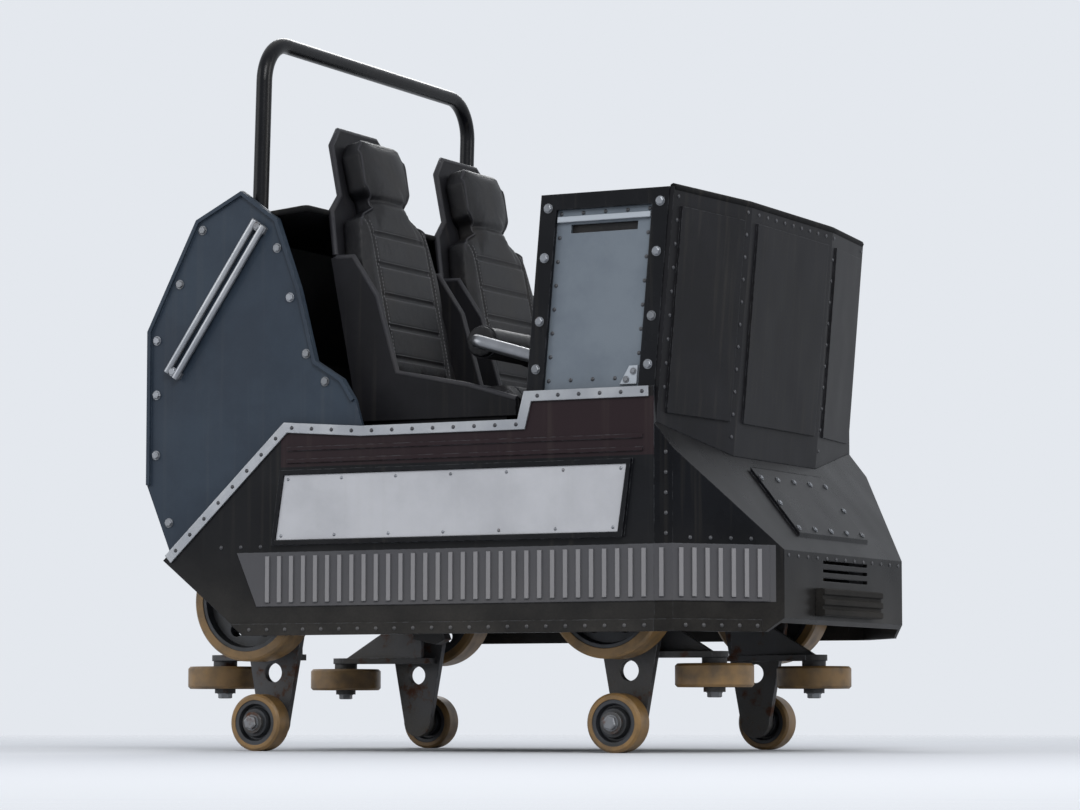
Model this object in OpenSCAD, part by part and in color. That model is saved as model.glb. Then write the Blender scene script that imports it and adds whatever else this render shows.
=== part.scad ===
// Lead car of a wooden roller coaster train, two seats side by side, on two axles.
// +X is forward, +Y is the car's left, +Z is up, and the floor is at z = 0.
// It stands on its up-stop wheels. A point marked x z lies in the side view.

/* [Overall] */
// Length from the hitch fork to the front bumper
overall_l = 1820; // [1760:1:1900]
// Width over the name boards
body_w = 1300; // [1280:1:1360]
// Distance between the two axles
wheelbase = 1050; // [1020:1:1090]
// Rear overhang from the rear axle to the fork's end
rear_overhang = 320; // [300:1:340]
// Length from the side panels' front edge to the bumper
nose_l = 270; // [255:1:280]
// Length of the cowl over its posts
cowl_l = 356; // [340:1:370]

/* [Wheels] */
// Distance between the centres of the left and right running wheels
run_track = 1000; // [980:1:1010]
// Diameter of a running wheel
run_d = 320; // [300:1:330]
// Width of a running wheel
run_w = 90; // [70:1:100]
// Diameter of a guide wheel
guide_d = 200; // [170:1:210]
// Height of a guide wheel's tread
guide_w = 60; // [50:1:64]
// Distance of a guide wheel ahead of or behind its axle
guide_reach = 200; // [195:1:215]
// Diameter of an up-stop wheel
stop_d = 150; // [130:1:160]
// Width of an up-stop wheel
stop_w = 60; // [50:1:66]
// Radius of a running wheel's spindle
run_spindle_r = 25; // [20:0.5:30]
// Radius of the small wheels' spindles
small_spindle_r = 20; // [15:0.5:24]

/* [Rail] */
// Thickness of the rail ledge between running and up-stop wheels
ledge_t = 80; // [70:1:90]
// Width of the rail ledge
ledge_w = 140; // [130:1:150]
// Running gap between the ledge and the guide and up-stop wheels
ledge_gap = 5; // [3:0.5:8]

/* [Running gear] */
// Thickness of a wheel carrier plate
carrier_t = 20; // [15:1:24]
// Half length of a carrier plate at the axle
carrier_half = 90; // [70:1:95]
// Side of the square axle beams
beam = 90; // [80:1:100]
// Radius of the turntable
turntable_r = 110; // [90:1:120]
// Radius of the kingpin
kingpin_r = 30; // [25:1:40]

/* [Chassis] */
// Sideways distance from the middle to a chassis rail's middle
rail_y = 250; // [230:1:270]
// Width of a chassis rail
rail_w = 80; // [60:1:90]
// Height of a chassis rail
rail_h = 100; // [80:1:110]
// Gap between axle beam and chassis, filled by turntable and pedestals
deck_gap = 50; // [46:1:60]
// Thickness of the floor pan
floor_t = 8; // [6:1:10]
// Radius of the hitch pin's hole
hitch_r = 15.5; // [12:0.5:18]

/* [Body] */
// Thickness of the body shells
shell_t = 12; // [8:1:14]
// How far the name boards and their frames stand out
board_t = 12; // [8:1:16]
// Height of the side panels' bottom edge
skirt_z = 300; // [280:1:320]
// Height of the side panels' top at the cowl
belt_z = 905; // [890:1:920]
// Height of the entry sill
sill_z = 835; // [820:1:850]
// Forward lean of the cowl posts, in degrees
rake = 5; // [3:0.5:7]
// Height of the cowl's top
cowl_top_z = 1400; // [1370:1:1430]
// Height of the wing plates' top
wing_top_z = 1470; // [1440:1:1500]
// Width of the cowl posts
post_w = 45; // [35:1:50]
// Spacing of the ribs in the side band
rib_pitch = 36; // [30:1:44]

/* [Seats] */
// Sideways distance from the middle to a seat's middle
seat_y = 290; // [285:1:295]
// Length of a seat pan from the foot of its back
pan_l = 450; // [430:1:460]
// Width of a seat shell
seat_w = 480; // [440:1:490]
// Height of a seat pan's underside
seat_pan_z = 856; // [840:1:870]
// Backward lean of the seat backs, in degrees
recline = 11; // [8:0.5:14]
// Thickness of a seat shell
seat_t = 14; // [10:1:16]
// Length of a seat back along its slope
back_l = 800; // [760:1:820]

/* [Lap bars] */
// Radius of a lap bar's arms
lap_arm_r = 17; // [14:0.5:20]
// Radius of a lap bar's pivot shaft
lap_shaft_r = 20; // [16:0.5:22]
// Radius of a lap pad
lap_pad_r = 45; // [38:1:50]
// Length of a lap pad
lap_pad_l = 310; // [280:1:316]

/* [Grab hoop] */
// Radius of the hoop's tube
hoop_r = 21; // [18:0.5:24]
// Height of the hoop's top
hoop_top_z = 1900; // [1860:1:1930]
// Bend radius at the hoop's corners
hoop_bend = 110; // [80:1:130]

/* [Hidden] */
$fn = 48;

// Radial clearance of a running fit, and gap between faces that turn on each other
fit = 0.05;
face_gap = 0.3;

// Places along the car
x_rear = -overall_l / 2;
x_front = overall_l / 2;
rear_axle_x = x_rear + rear_overhang;
front_axle_x = rear_axle_x + wheelbase;
tail_x = x_rear + 120;
nose_rear_x = x_front - nose_l;
cowl_front_x = nose_rear_x - 4;
cowl_rear_x = cowl_front_x - cowl_l;
hinge_x = tail_x + 540;
hinge_z = seat_pan_z + seat_t;
pan_front = hinge_x + pan_l;

// Heights of the running gear
rail_z = stop_d + ledge_gap + ledge_t;
run_z = rail_z + run_d / 2;
guide_z = rail_z - ledge_t / 2;
stop_z = stop_d / 2;
beam_top = run_z + beam / 2;
chassis_z = beam_top + deck_gap;
floor_z = chassis_z + rail_h;
floor_top = floor_z + floor_t;

// Sideways places of the running gear
ledge_in = run_track / 2 - ledge_w / 2;
guide_y = ledge_in - ledge_gap - guide_d / 2;
stop_y = ledge_in + 10 + stop_w / 2;
carrier_out = ledge_in - 25;
carrier_in = carrier_out - carrier_t;

// Sideways places of the body
panel_out = body_w / 2 - board_t;
panel_in = panel_out - shell_t;
wing_in = panel_in - shell_t;

// Ledge inside the side panels that the outriggers carry
side_ledge = 14;
outrigger_half = wing_in - side_ledge;

// Corners of the car: name, place of the axle, side, and way from the axle to the guide wheel
C_NAME = 0;
C_X = 1;
C_SIDE = 2;
C_WAY = 3;
CORNERS = [
    ["rl", rear_axle_x, 1, -1],
    ["rr", rear_axle_x, -1, -1],
    ["fl", front_axle_x, 1, 1],
    ["fr", front_axle_x, -1, 1],
];

// Sides of the car: name and side
SIDES = [["l", 1], ["r", -1]];

function side_nodes(name) = [for (s = SIDES) str(name, "_", s[0])];
function corner_nodes(name) = [for (c = CORNERS) str(name, "_", c[C_NAME])];

// Colours
black = "#1b1c20";
charcoal = "#2c2b2d";
blue_grey = "#2b333d";
panel_grey = "#666d75";
board_grey = "#b4b4b6";
trim_grey = "#85888c";
steel = "#4a4d52";
vinyl = "#1a1a1c";
urethane = "#8a6f45";

// A plate whose outline lies in the side view, from y0 to y0 + t
module side_plate(points, y0, t) {
    translate([0, y0 + t, 0])
        rotate([90, 0, 0])
            linear_extrude(t)
                polygon(points);
}

// A rod or boss along +Y from y0
module cross_rod(x, y0, z, r, l) {
    translate([x, y0, z])
        rotate([-90, 0, 0])
            cylinder(h = l, r = r);
}

module on_side(side) {
    if (side > 0) children();
    else mirror([0, 1, 0]) children();
}

// A tube along +Z that bends towards +X. Each step is a length, the turn and bend radius
// that end it, and a twist about the tube that turns the plane of the bend.
module bent_tube(r, steps, i = 0) {
    if (i < len(steps)) {
        run = steps[i][0];
        turn = steps[i][1];
        bend = steps[i][2];
        rotate(steps[i][3]) {
            cylinder(h = run, r = r);
            if (turn > 0)
                translate([bend, 0, run])
                    mirror([1, 0, 0])
                        rotate([90, 0, 0])
                            rotate_extrude(angle = turn)
                                translate([bend, 0])
                                    circle(r);
            translate([bend * (1 - cos(turn)), 0, run + bend * sin(turn)])
                rotate([0, turn, 0])
                    bent_tube(r, steps, i + 1);
        }
    }
}

// Outline of a strip of width w along points, with mitred corners
function edge_normal(p, i) = let (d = p[i + 1] - p[i]) [-d[1], d[0]] / norm(d);
function mitre(p, i, w) =
    i == 0 ? edge_normal(p, 0) * w / 2
    : i == len(p) - 1 ? edge_normal(p, i - 1) * w / 2
    : let (n = edge_normal(p, i - 1), m = n + edge_normal(p, i)) m * w / 2 / (m * n);
function strip_outline(p, w) = concat(
    [for (i = [0:len(p) - 1]) p[i] + mitre(p, i, w)],
    [for (i = [len(p) - 1:-1:0]) p[i] - mitre(p, i, w)]
);

// A closed outline, anticlockwise, moved in by w
function inset(p, w) = let (n = len(p)) [
    for (i = [0:n - 1])
        let (d0 = p[i] - p[(i + n - 1) % n], d1 = p[(i + 1) % n] - p[i])
            let (n0 = [-d0[1], d0[0]] / norm(d0), n1 = [-d1[1], d1[0]] / norm(d1))
                p[i] + (n0 + n1) * w / ((n0 + n1) * n0)
];

// A plate whose outline is y z, from x0 to x0 + t
module front_plate(points, x0, t) {
    translate([x0, 0, 0])
        rotate([90, 0, 90])
            linear_extrude(t)
                polygon(points);
}

// Running gear

// Thickness of the turntable's lower disc
disc_t = 26;

// Wheel about +Z from z = 0: tread, waisted web, boss and holes
module wheel(d, w, bore_r, tyre_t, holes) {
    r = d / 2;
    rim_r = r - tyre_t;
    boss_r = bore_r + 16;
    edge = 6;
    web_in = w * 0.28;
    difference() {
        rotate_extrude()
            polygon([
                [bore_r + fit, 0], [boss_r, 0], [boss_r + 4, web_in], [rim_r - 14, web_in],
                [rim_r - 10, 2], [rim_r, 2], [rim_r, 0], [r - edge, 0], [r, edge],
                [r, w - edge], [r - edge, w], [rim_r, w], [rim_r, w - 2], [rim_r - 10, w - 2],
                [rim_r - 14, w - web_in], [boss_r + 4, w - web_in], [boss_r, w],
                [bore_r + fit, w],
            ]);
        if (holes > 0)
            for (i = [0:holes - 1])
                rotate(i * 360 / holes)
                    translate([(boss_r + rim_r) / 2, 0, -1])
                        cylinder(h = w + 2, r = (rim_r - boss_r) / 5);
    }
}

module running_wheel(c) {
    color(urethane)
        on_side(c[C_SIDE])
            translate([c[C_X], run_track / 2 - run_w / 2, run_z])
                rotate([-90, 0, 0])
                    wheel(run_d, run_w, run_spindle_r, 26, 6);
}

module guide_wheel(c) {
    color(urethane)
        on_side(c[C_SIDE])
            translate([c[C_X] + c[C_WAY] * guide_reach, guide_y, guide_z - guide_w / 2])
                wheel(guide_d, guide_w, small_spindle_r, 20, 5);
}

module up_stop_wheel(c) {
    color(urethane)
        on_side(c[C_SIDE])
            translate([c[C_X], stop_y - stop_w / 2, stop_z])
                rotate([-90, 0, 0])
                    wheel(stop_d, stop_w, small_spindle_r, 16, 0);
}

// Spindle along +Z from a plate at z = 0: collar, shaft through a wheel of width w, end nut
module spindle(r, collar_l, w) {
    nut_l = 12;
    cylinder(h = collar_l - face_gap, r = r + 12);
    cylinder(h = collar_l + w + nut_l, r = r);
    translate([0, 0, collar_l + w + face_gap])
        cylinder(h = nut_l - face_gap, r = r + 8);
}

// Square with its corners cut off by c, x z, around height z
function octagon(z, h, c) = [for (q = [
    [1 - c / h, -1], [1, c / h - 1], [1, 1 - c / h], [1 - c / h, 1],
    [c / h - 1, 1], [-1, 1 - c / h], [-1, c / h - 1], [c / h - 1, -1],
]) [q[0] * h, z + q[1] * h]];

module wheel_carrier(c) {
    foot_r = 42;
    shoulder = 60;
    window_r = 26;
    clamp_half = 52;
    clamp_t = 8;
    bracket_z = guide_z + guide_w / 2 + 15;
    bracket_t = 16;
    pad_r = 36;
    web_t = 14;
    color(steel)
        on_side(c[C_SIDE])
            translate([c[C_X], 0, 0])
                mirror([c[C_WAY] < 0 ? 1 : 0, 0, 0]) {
                    difference() {
                        union() {
                            side_plate([
                                [-carrier_half, run_z + shoulder], [-carrier_half, run_z - shoulder],
                                [-foot_r, stop_z], [foot_r, stop_z],
                                [carrier_half, run_z - shoulder], [carrier_half, run_z + shoulder],
                                [carrier_half - 25, run_z + shoulder + 25],
                                [25 - carrier_half, run_z + shoulder + 25],
                            ], carrier_in, carrier_t);
                            cross_rod(0, carrier_in, stop_z, foot_r, carrier_t);
                        }
                        cross_rod(0, carrier_in - 1, guide_z + 12, window_r, carrier_t + 2);
                    }
                    side_plate(octagon(run_z, clamp_half, 14), carrier_out - 1, clamp_t + 1);
                    translate([0, carrier_out, run_z])
                        rotate([-90, 0, 0])
                            spindle(run_spindle_r, run_track / 2 - run_w / 2 - carrier_out, run_w);
                    translate([0, carrier_out, stop_z])
                        rotate([-90, 0, 0])
                            spindle(small_spindle_r, stop_y - stop_w / 2 - carrier_out, stop_w);
                    translate([0, 0, bracket_z])
                        linear_extrude(bracket_t) {
                            polygon([
                                [-60, carrier_in], [-60, guide_y + 10],
                                [guide_reach - 10, guide_y - pad_r], [guide_reach + 10, guide_y + pad_r],
                                [carrier_half, carrier_in],
                            ]);
                            translate([guide_reach, guide_y]) circle(pad_r);
                        }
                    side_plate([
                        [-beam / 2, run_z - beam / 2], [-beam / 2, bracket_z + bracket_t],
                        [guide_reach, bracket_z + bracket_t], [beam / 2, run_z - beam / 2],
                    ], guide_y + 4, web_t);
                    translate([guide_reach, guide_y, bracket_z])
                        mirror([0, 0, 1])
                            spindle(small_spindle_r, bracket_z - guide_z - guide_w / 2, guide_w);
                }
}

module axle_beam(x) {
    gusset_l = 55;
    gusset_h = 36;
    gusset_t = 10;
    translate([x - beam / 2, -carrier_in, run_z - beam / 2])
        cube([beam, 2 * carrier_in, beam]);
    for (s = SIDES)
        on_side(s[1])
            for (k = [-1, 1])
                front_plate([
                    [carrier_in - gusset_l, beam_top - 1], [carrier_in, beam_top - 1],
                    [carrier_in, beam_top + gusset_h], [carrier_in - 12, beam_top + gusset_h],
                ], x + k * 30 - gusset_t / 2, gusset_t);
}

module rear_axle() {
    color(steel) {
        axle_beam(rear_axle_x);
        for (s = SIDES)
            translate([rear_axle_x - 60, s[1] * rail_y - rail_w / 2, beam_top])
                cube([120, rail_w, deck_gap]);
    }
}

module front_axle() {
    color(steel) {
        axle_beam(front_axle_x);
        translate([front_axle_x, 0, beam_top]) {
            cylinder(h = disc_t, r = turntable_r);
            cylinder(h = deck_gap + rail_h - 5, r = kingpin_r);
        }
    }
}

// Chain dog on a cross pin between two ears under a cross member
dog_x = rear_axle_x + 260;
dog_pin_z = chassis_z - 30;
dog_pin_r = 14;
dog_r = 34;
dog_t = 36;
dog_ear_t = 14;
dog_ear_r = 36;
dog_gap = 1;

// Cross members of the chassis: place, length along the car, height, half width
M_X = 0;
M_L = 1;
M_H = 2;
M_HALF = 3;
outrigger_h = 60;
fin_x = front_axle_x - 310;
rail_end_x = nose_rear_x + 120;
MEMBERS = [
    [tail_x + 30, 60, rail_h, rail_y + rail_w / 2],
    [rear_axle_x, 80, rail_h, rail_y],
    [dog_x, 60, outrigger_h, outrigger_half],
    [fin_x, 60, outrigger_h, outrigger_half],
    [front_axle_x, 120, rail_h, rail_y],
    [rail_end_x - 30, 60, rail_h, rail_y + rail_w / 2],
];

// Gussets between the rails and the outriggers: place and way along the car
GUSSETS = [[dog_x - 30, -1], [fin_x + 30, 1]];

module chassis_frame() {
    gusset = 70;
    gusset_t = 12;
    rail_out = rail_y + rail_w / 2;
    color(black)
        difference() {
            union() {
                for (s = SIDES)
                    translate([tail_x, s[1] * rail_y - rail_w / 2, chassis_z])
                        cube([rail_end_x - tail_x, rail_w, rail_h]);
                for (m = MEMBERS)
                    translate([m[M_X] - m[M_L] / 2, -m[M_HALF], floor_z - m[M_H]])
                        cube([m[M_L], 2 * m[M_HALF], m[M_H]]);
                translate([front_axle_x, 0, beam_top + disc_t + face_gap])
                    cylinder(h = deck_gap - disc_t - face_gap, r = turntable_r);
                for (s = SIDES)
                    on_side(s[1]) {
                        side_plate([
                            [dog_x - 45, floor_z - outrigger_h], [dog_x - dog_ear_r, dog_pin_z],
                            [dog_x + dog_ear_r, dog_pin_z], [dog_x + 45, floor_z - outrigger_h],
                        ], dog_t / 2 + dog_gap, dog_ear_t);
                        cross_rod(dog_x, dog_t / 2 + dog_gap, dog_pin_z, dog_ear_r, dog_ear_t);
                        for (g = GUSSETS)
                            translate([g[0], rail_out, floor_z - outrigger_h + 6])
                                linear_extrude(gusset_t)
                                    polygon([
                                        [-g[1], -1], [g[1] * gusset, -1], [g[1] * gusset, 12],
                                        [g[1] * 12, gusset], [-g[1], gusset],
                                    ]);
                    }
                cross_rod(dog_x, -dog_t / 2 - dog_gap, dog_pin_z, dog_pin_r, dog_t + 2 * dog_gap);
            }
            translate([front_axle_x, 0, beam_top])
                cylinder(h = deck_gap + rail_h + 1, r = kingpin_r + fit);
        }
}

module rear_hitch() {
    ear_t = 20;
    ear_gap = 50;
    half = 50;
    pin_x = x_rear + half;
    root_x = x_rear + 180;
    color(steel)
        difference() {
            union() {
                for (z = [chassis_z - ear_t, chassis_z - 2 * ear_t - ear_gap])
                    translate([0, 0, z])
                        linear_extrude(ear_t) {
                            translate([pin_x, 0]) circle(half);
                            translate([pin_x, -half]) square([root_x - pin_x, 2 * half]);
                        }
                translate([root_x - 60, -half, chassis_z - ear_t - ear_gap - 1])
                    cube([60, 2 * half, ear_gap + 2]);
            }
            translate([pin_x, 0, chassis_z - 200])
                cylinder(h = 300, r = hitch_r);
        }
}

module brake_fins() {
    fin_t = 12;
    fin_y = 150;
    low = chassis_z - 170;
    web = chassis_z - 60;
    flare = 70;
    neck = 28;
    neck_z = chassis_z - 10;
    tip = 130;
    top = floor_z - outrigger_h;
    color(trim_grey)
        for (s = SIDES)
            side_plate([
                [dog_x - flare, low + 60], [dog_x - 10, low], [fin_x + flare, low],
                [fin_x + tip, low + 60], [fin_x + tip, web], [fin_x + flare, web],
                [fin_x + neck, neck_z], [fin_x + neck, top], [fin_x - neck, top],
                [fin_x - neck, neck_z], [fin_x - flare, web], [dog_x + flare, web],
                [dog_x + neck, neck_z], [dog_x + neck, top], [dog_x - neck, top],
                [dog_x - neck, neck_z], [dog_x - flare, web],
            ], s[1] * fin_y - fin_t / 2, fin_t);
}

module chain_dog() {
    color(steel)
        difference() {
            union() {
                side_plate([
                    [dog_x - dog_r, dog_pin_z], [dog_x + dog_r, dog_pin_z], [dog_x + 30, dog_pin_z - 110],
                    [dog_x + 50, dog_pin_z - 160], [dog_x + 20, dog_pin_z - 174],
                    [dog_x - 50, dog_pin_z - 160], [dog_x - 62, dog_pin_z - 70],
                ], -dog_t / 2, dog_t);
                cross_rod(dog_x, -dog_t / 2, dog_pin_z, dog_r, dog_t);
            }
            cross_rod(dog_x, -dog_t, dog_pin_z, dog_pin_r + fit, 2 * dog_t);
        }
}

// Body

module floor_pan() {
    color(charcoal) {
        translate([tail_x, -wing_in, floor_z])
            cube([nose_rear_x - tail_x, 2 * wing_in, floor_t]);
        translate([nose_rear_x - shell_t, -wing_in, floor_z])
            cube([shell_t, 2 * wing_in, hood_z(nose_rear_x, 0) - floor_z]);
    }
}

// Side view of the nose: hood slope from the blunt face to the cowl
bumper_t = 25;
nose_x = x_front - bumper_t;
nose_face_z = skirt_z + 205;
nose_chin = 35;
hood_slope = 310 / 245;
function hood_z(x, d) = nose_face_z + (nose_x - x) * hood_slope - d * sqrt(1 + pow(hood_slope, 2));

// Plan of the nose: half width at x, set in by d
taper_x = nose_rear_x + 50;
taper = 1.22;
function nose_y(x, d) = panel_out - (x - taper_x) * taper - d * sqrt(1 + pow(taper, 2));
function taper_start(d) = taper_x - d * (sqrt(1 + pow(taper, 2)) - 1) / taper;

module nose_solid(d, x0, z0, chin) {
    intersection() {
        side_plate([
            [x0, z0], [nose_x - d - chin, z0], [nose_x - d, z0 + chin],
            [nose_x - d, hood_z(nose_x - d, d)], [x0, hood_z(x0, d)],
        ], -body_w / 2, body_w);
        linear_extrude(cowl_top_z)
            polygon([
                [x0, d - panel_out], [taper_start(d), d - panel_out],
                [nose_x - d, -nose_y(nose_x - d, d)], [nose_x - d, nose_y(nose_x - d, d)],
                [taper_start(d), panel_out - d], [x0, panel_out - d],
            ]);
    }
}

// Ribbed band along the side and round the nose
band_z = skirt_z + 75;
band_h = 140;
band_t = 3;
band_end_x = nose_x - 25;
rib_w = 12;
rib_out = 7;
skirt_t = 6;
skirt_h = 30;

// Strip along the nose's side and taper to x1, t thick
module nose_strip(x1, z, h, t) {
    translate([0, 0, z])
        linear_extrude(h)
            polygon([
                [nose_rear_x, panel_out - 1], [taper_x, panel_out - 1],
                [x1, nose_y(x1, 1)], [x1, nose_y(x1, -t)],
                [taper_start(-t), panel_out + t], [nose_rear_x, panel_out + t],
            ]);
}

// A rib of the band, which starts inside the band
module rib() {
    translate([0, band_t / 2, 0])
        cube([rib_w, rib_out - band_t / 2, band_h - 20]);
}

module nose_shell() {
    // Raised panel on the hood
    lid_x0 = taper_x + 30;
    lid_x1 = nose_x - 30;
    lid_half = 230;
    lid_t = 8;
    // Vents in the blunt face
    vent_half = 150;
    vent_h = 9;
    vents = 3;
    taper_l = (band_end_x - taper_x) * sqrt(1 + pow(taper, 2));
    color(black)
        difference() {
            union() {
                nose_solid(0, nose_rear_x, skirt_z, nose_chin);
                side_plate([
                    [lid_x0, hood_z(lid_x0, 1)], [lid_x1, hood_z(lid_x1, 1)],
                    [lid_x1, hood_z(lid_x1, -lid_t)], [lid_x0, hood_z(lid_x0, -lid_t)],
                ], -lid_half, 2 * lid_half);
                for (s = SIDES)
                    on_side(s[1]) {
                        nose_strip(band_end_x, band_z, band_h, band_t);
                        nose_strip(nose_x - nose_chin - 5, skirt_z, skirt_h, skirt_t);
                        translate([nose_rear_x + 16, panel_out, band_z + 10]) rib();
                        for (l = [14:rib_pitch:taper_l - 20])
                            translate([taper_x, panel_out, band_z + 10])
                                rotate(-atan(taper))
                                    translate([l, 0, 0]) rib();
                    }
            }
            nose_solid(shell_t, nose_rear_x - 10, skirt_z - 10, 1);
            for (i = [1:vents])
                translate([nose_x - shell_t - 1, -vent_half, nose_face_z - 22 * i - vent_h / 2])
                    cube([shell_t + 2, 2 * vent_half, vent_h]);
        }
}

module front_bumper() {
    half = 200;
    low = skirt_z + 45;
    ridge_h = 18;
    ridges = 3;
    pitch = 26;
    color(vinyl)
        side_plate(concat(
            [[nose_x, low + ridges * pitch - 8], [nose_x, low]],
            [for (i = [0:ridges - 1]) for (q = [[6, 0], [0, 3], [0, ridge_h - 3], [6, ridge_h]])
                [x_front - q[0], low + i * pitch + q[1]]]
        ), -half, 2 * half);
}

// Cowl: its posts lean forward, so a point's x grows with its height
function lean(x, z) = [x + (z - belt_z) * tan(rake), z];

// A plate that leans with the posts: its lines x0 and x1, its heights z0 and z1
module leaning(x0, x1, z0, z1, y0, t) {
    side_plate([lean(x0, z0), lean(x1, z0), lean(x1, z1), lean(x0, z1)], y0, t);
}

module cowl_frame() {
    top_h = 40;
    low_z = cowl_top_z - top_h;
    front_post_x = cowl_front_x - post_w;
    color(black) {
        for (s = SIDES)
            on_side(s[1]) {
                for (x = [cowl_rear_x, front_post_x])
                    leaning(x, x + post_w, floor_top, cowl_top_z, panel_in - post_w, post_w);
                leaning(cowl_rear_x, cowl_front_x, low_z, cowl_top_z, panel_in - post_w, post_w);
            }
        leaning(front_post_x, cowl_front_x, low_z, cowl_top_z, -panel_in, 2 * panel_in);
    }
}

module cowl_panel(side) {
    plate_t = 10;
    plate_out = panel_in - 12;
    top_z = cowl_top_z - 40;
    low_z = belt_z - 40;
    slot_z = top_z - 60;
    slot_h = 22;
    slot_end = 85;
    x0 = cowl_rear_x + post_w;
    x1 = cowl_front_x - post_w;
    // Folded lip over the slot, and a bracket low at the front
    lip_z = slot_z + slot_h + 6;
    lip_h = 14;
    lip_out = 9;
    edge = 4;
    bracket = 46;
    bracket_x = x1 - 8;
    bracket_z = belt_z + 8;
    bracket_t = 7;
    color(panel_grey)
        on_side(side) {
            difference() {
                leaning(x0, x1, low_z, top_z, plate_out - plate_t, plate_t);
                leaning(cowl_rear_x + slot_end, cowl_front_x - slot_end, slot_z, slot_z + slot_h,
                    plate_out - plate_t - 1, plate_t + 2);
            }
            leaning(x0 + edge, x1 - edge, lip_z, lip_z + lip_h, plate_out - 1, lip_out + 1);
            side_plate([
                lean(bracket_x - bracket, bracket_z), lean(bracket_x, bracket_z),
                lean(bracket_x, bracket_z + bracket), lean(bracket_x - bracket / 2, bracket_z + bracket),
            ], plate_out - 1, bracket_t + 1);
        }
}

module front_shield() {
    bow = 56;
    flat_half = 270;
    low = -150;
    half = panel_in - 2;
    base = lean(cowl_front_x, belt_z);
    tall = (cowl_top_z - belt_z) / cos(rake);
    // Pressed panels: height range, margin to the folds, depth
    press_z0 = -62;
    press_z1 = tall - 45;
    margin = 35;
    press_t = 6;
    fold = [bow + shell_t, flat_half];
    edge = [shell_t, half];
    out = [half - flat_half, bow] / norm([half - flat_half, bow]);
    way = (edge - fold) / norm(edge - fold);
    color(charcoal)
        difference() {
            translate([base[0], 0, base[1]])
                rotate([0, rake, 0]) {
                    translate([0, 0, low])
                        linear_extrude(tall - low)
                            polygon([
                                [0, half], [bow, flat_half], [bow, -flat_half], [0, -half],
                                [shell_t, -half], [bow + shell_t, -flat_half],
                                [bow + shell_t, flat_half], [shell_t, half],
                            ]);
                    translate([0, 0, press_z0])
                        linear_extrude(press_z1 - press_z0) {
                            translate([bow + shell_t - 1, margin - flat_half])
                                square([press_t + 1, 2 * (flat_half - margin)]);
                            for (s = SIDES)
                                on_side(s[1])
                                    polygon([
                                        fold + way * margin - out, fold + way * margin + out * press_t,
                                        edge - way * margin + out * press_t, edge - way * margin - out,
                                    ]);
                        }
                }
            nose_solid(0, nose_rear_x - 60, skirt_z, nose_chin);
        }
}

// Side panel outline, x z, with the sill between wing and cowl
panel_rear = [tail_x, skirt_z + 200];
skirt_rear_x = tail_x + 250;
diagonal_top = [tail_x + 370, sill_z + 15];
sill_rear_x = tail_x + 600;
SIDE_OUTLINE = [
    panel_rear, [skirt_rear_x, skirt_z], [nose_rear_x, skirt_z], [nose_rear_x, belt_z],
    [cowl_rear_x, belt_z], [cowl_rear_x - 15, sill_z], [sill_rear_x, sill_z], diagonal_top,
];

// Name board outline, x z, with slanted ends
board_z = skirt_z + 245;
board_h = 170;
board_edge = 12;
board_x0 = tail_x + 350;
board_x1 = nose_rear_x - 95;
board_slant = 25;
function board_outline(e) = [
    [board_x0 - e, board_z - e], [board_x1 + e, board_z - e],
    [board_x1 + board_slant + e, board_z + board_h + e],
    [board_x0 + board_slant - e, board_z + board_h + e],
];

module side_panel(side) {
    flange_t = 12;
    band_x0 = skirt_rear_x + 40;
    skirt_rise = (skirt_rear_x - panel_rear[0]) / (panel_rear[1] - skirt_z);
    bead_h = 10;
    bead_t = 4;
    // Entry step behind the sill
    step_in = 545;
    step_t = 12;
    color(black)
        on_side(side) {
            side_plate(SIDE_OUTLINE, panel_in, shell_t);
            translate([sill_rear_x + 10, step_in, sill_z - step_t])
                cube([cowl_rear_x - 35 - sill_rear_x, panel_in + 1 - step_in, step_t]);
            difference() {
                side_plate(board_outline(board_edge), panel_out, board_t);
                side_plate(board_outline(0), panel_out - 1, board_t + 2);
            }
            side_plate([
                [band_x0, band_z], [nose_rear_x, band_z], [nose_rear_x, band_z + band_h],
                [band_x0 - 60, band_z + band_h],
            ], panel_out, band_t);
            for (x = [nose_rear_x - 20:-rib_pitch:band_x0 + 10])
                translate([x - rib_w, panel_out, band_z + 10]) rib();
            side_plate([
                [skirt_rear_x, skirt_z], [nose_rear_x, skirt_z], [nose_rear_x, skirt_z + skirt_h],
                [skirt_rear_x - skirt_h * skirt_rise, skirt_z + skirt_h],
            ], panel_out, skirt_t);
            for (z = [board_z + board_h + 30, board_z + board_h + 62])
                translate([board_x0 + 30, panel_out, z])
                    cube([nose_rear_x - board_x0 - 60, bead_t, bead_h]);
            translate([skirt_rear_x + 140, outrigger_half, floor_z - flange_t])
                cube([cowl_front_x - skirt_rear_x - 196, panel_in - outrigger_half, flange_t]);
        }
}

module sill_trim(side) {
    trim_w = 26;
    in = trim_w / 2;
    color(trim_grey)
        on_side(side)
            side_plate(strip_outline([
                panel_rear + [18, 3], diagonal_top + [6, -12], [sill_rear_x, sill_z - in],
                [cowl_rear_x - 6, sill_z - in],
                [cowl_rear_x + 12, belt_z - in], [nose_rear_x - in, belt_z - in],
            ], trim_w), panel_out, 6);
}

module name_board(side) {
    color(board_grey)
        on_side(side)
            side_plate(board_outline(-1), panel_out, board_t - 4);
}

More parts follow.
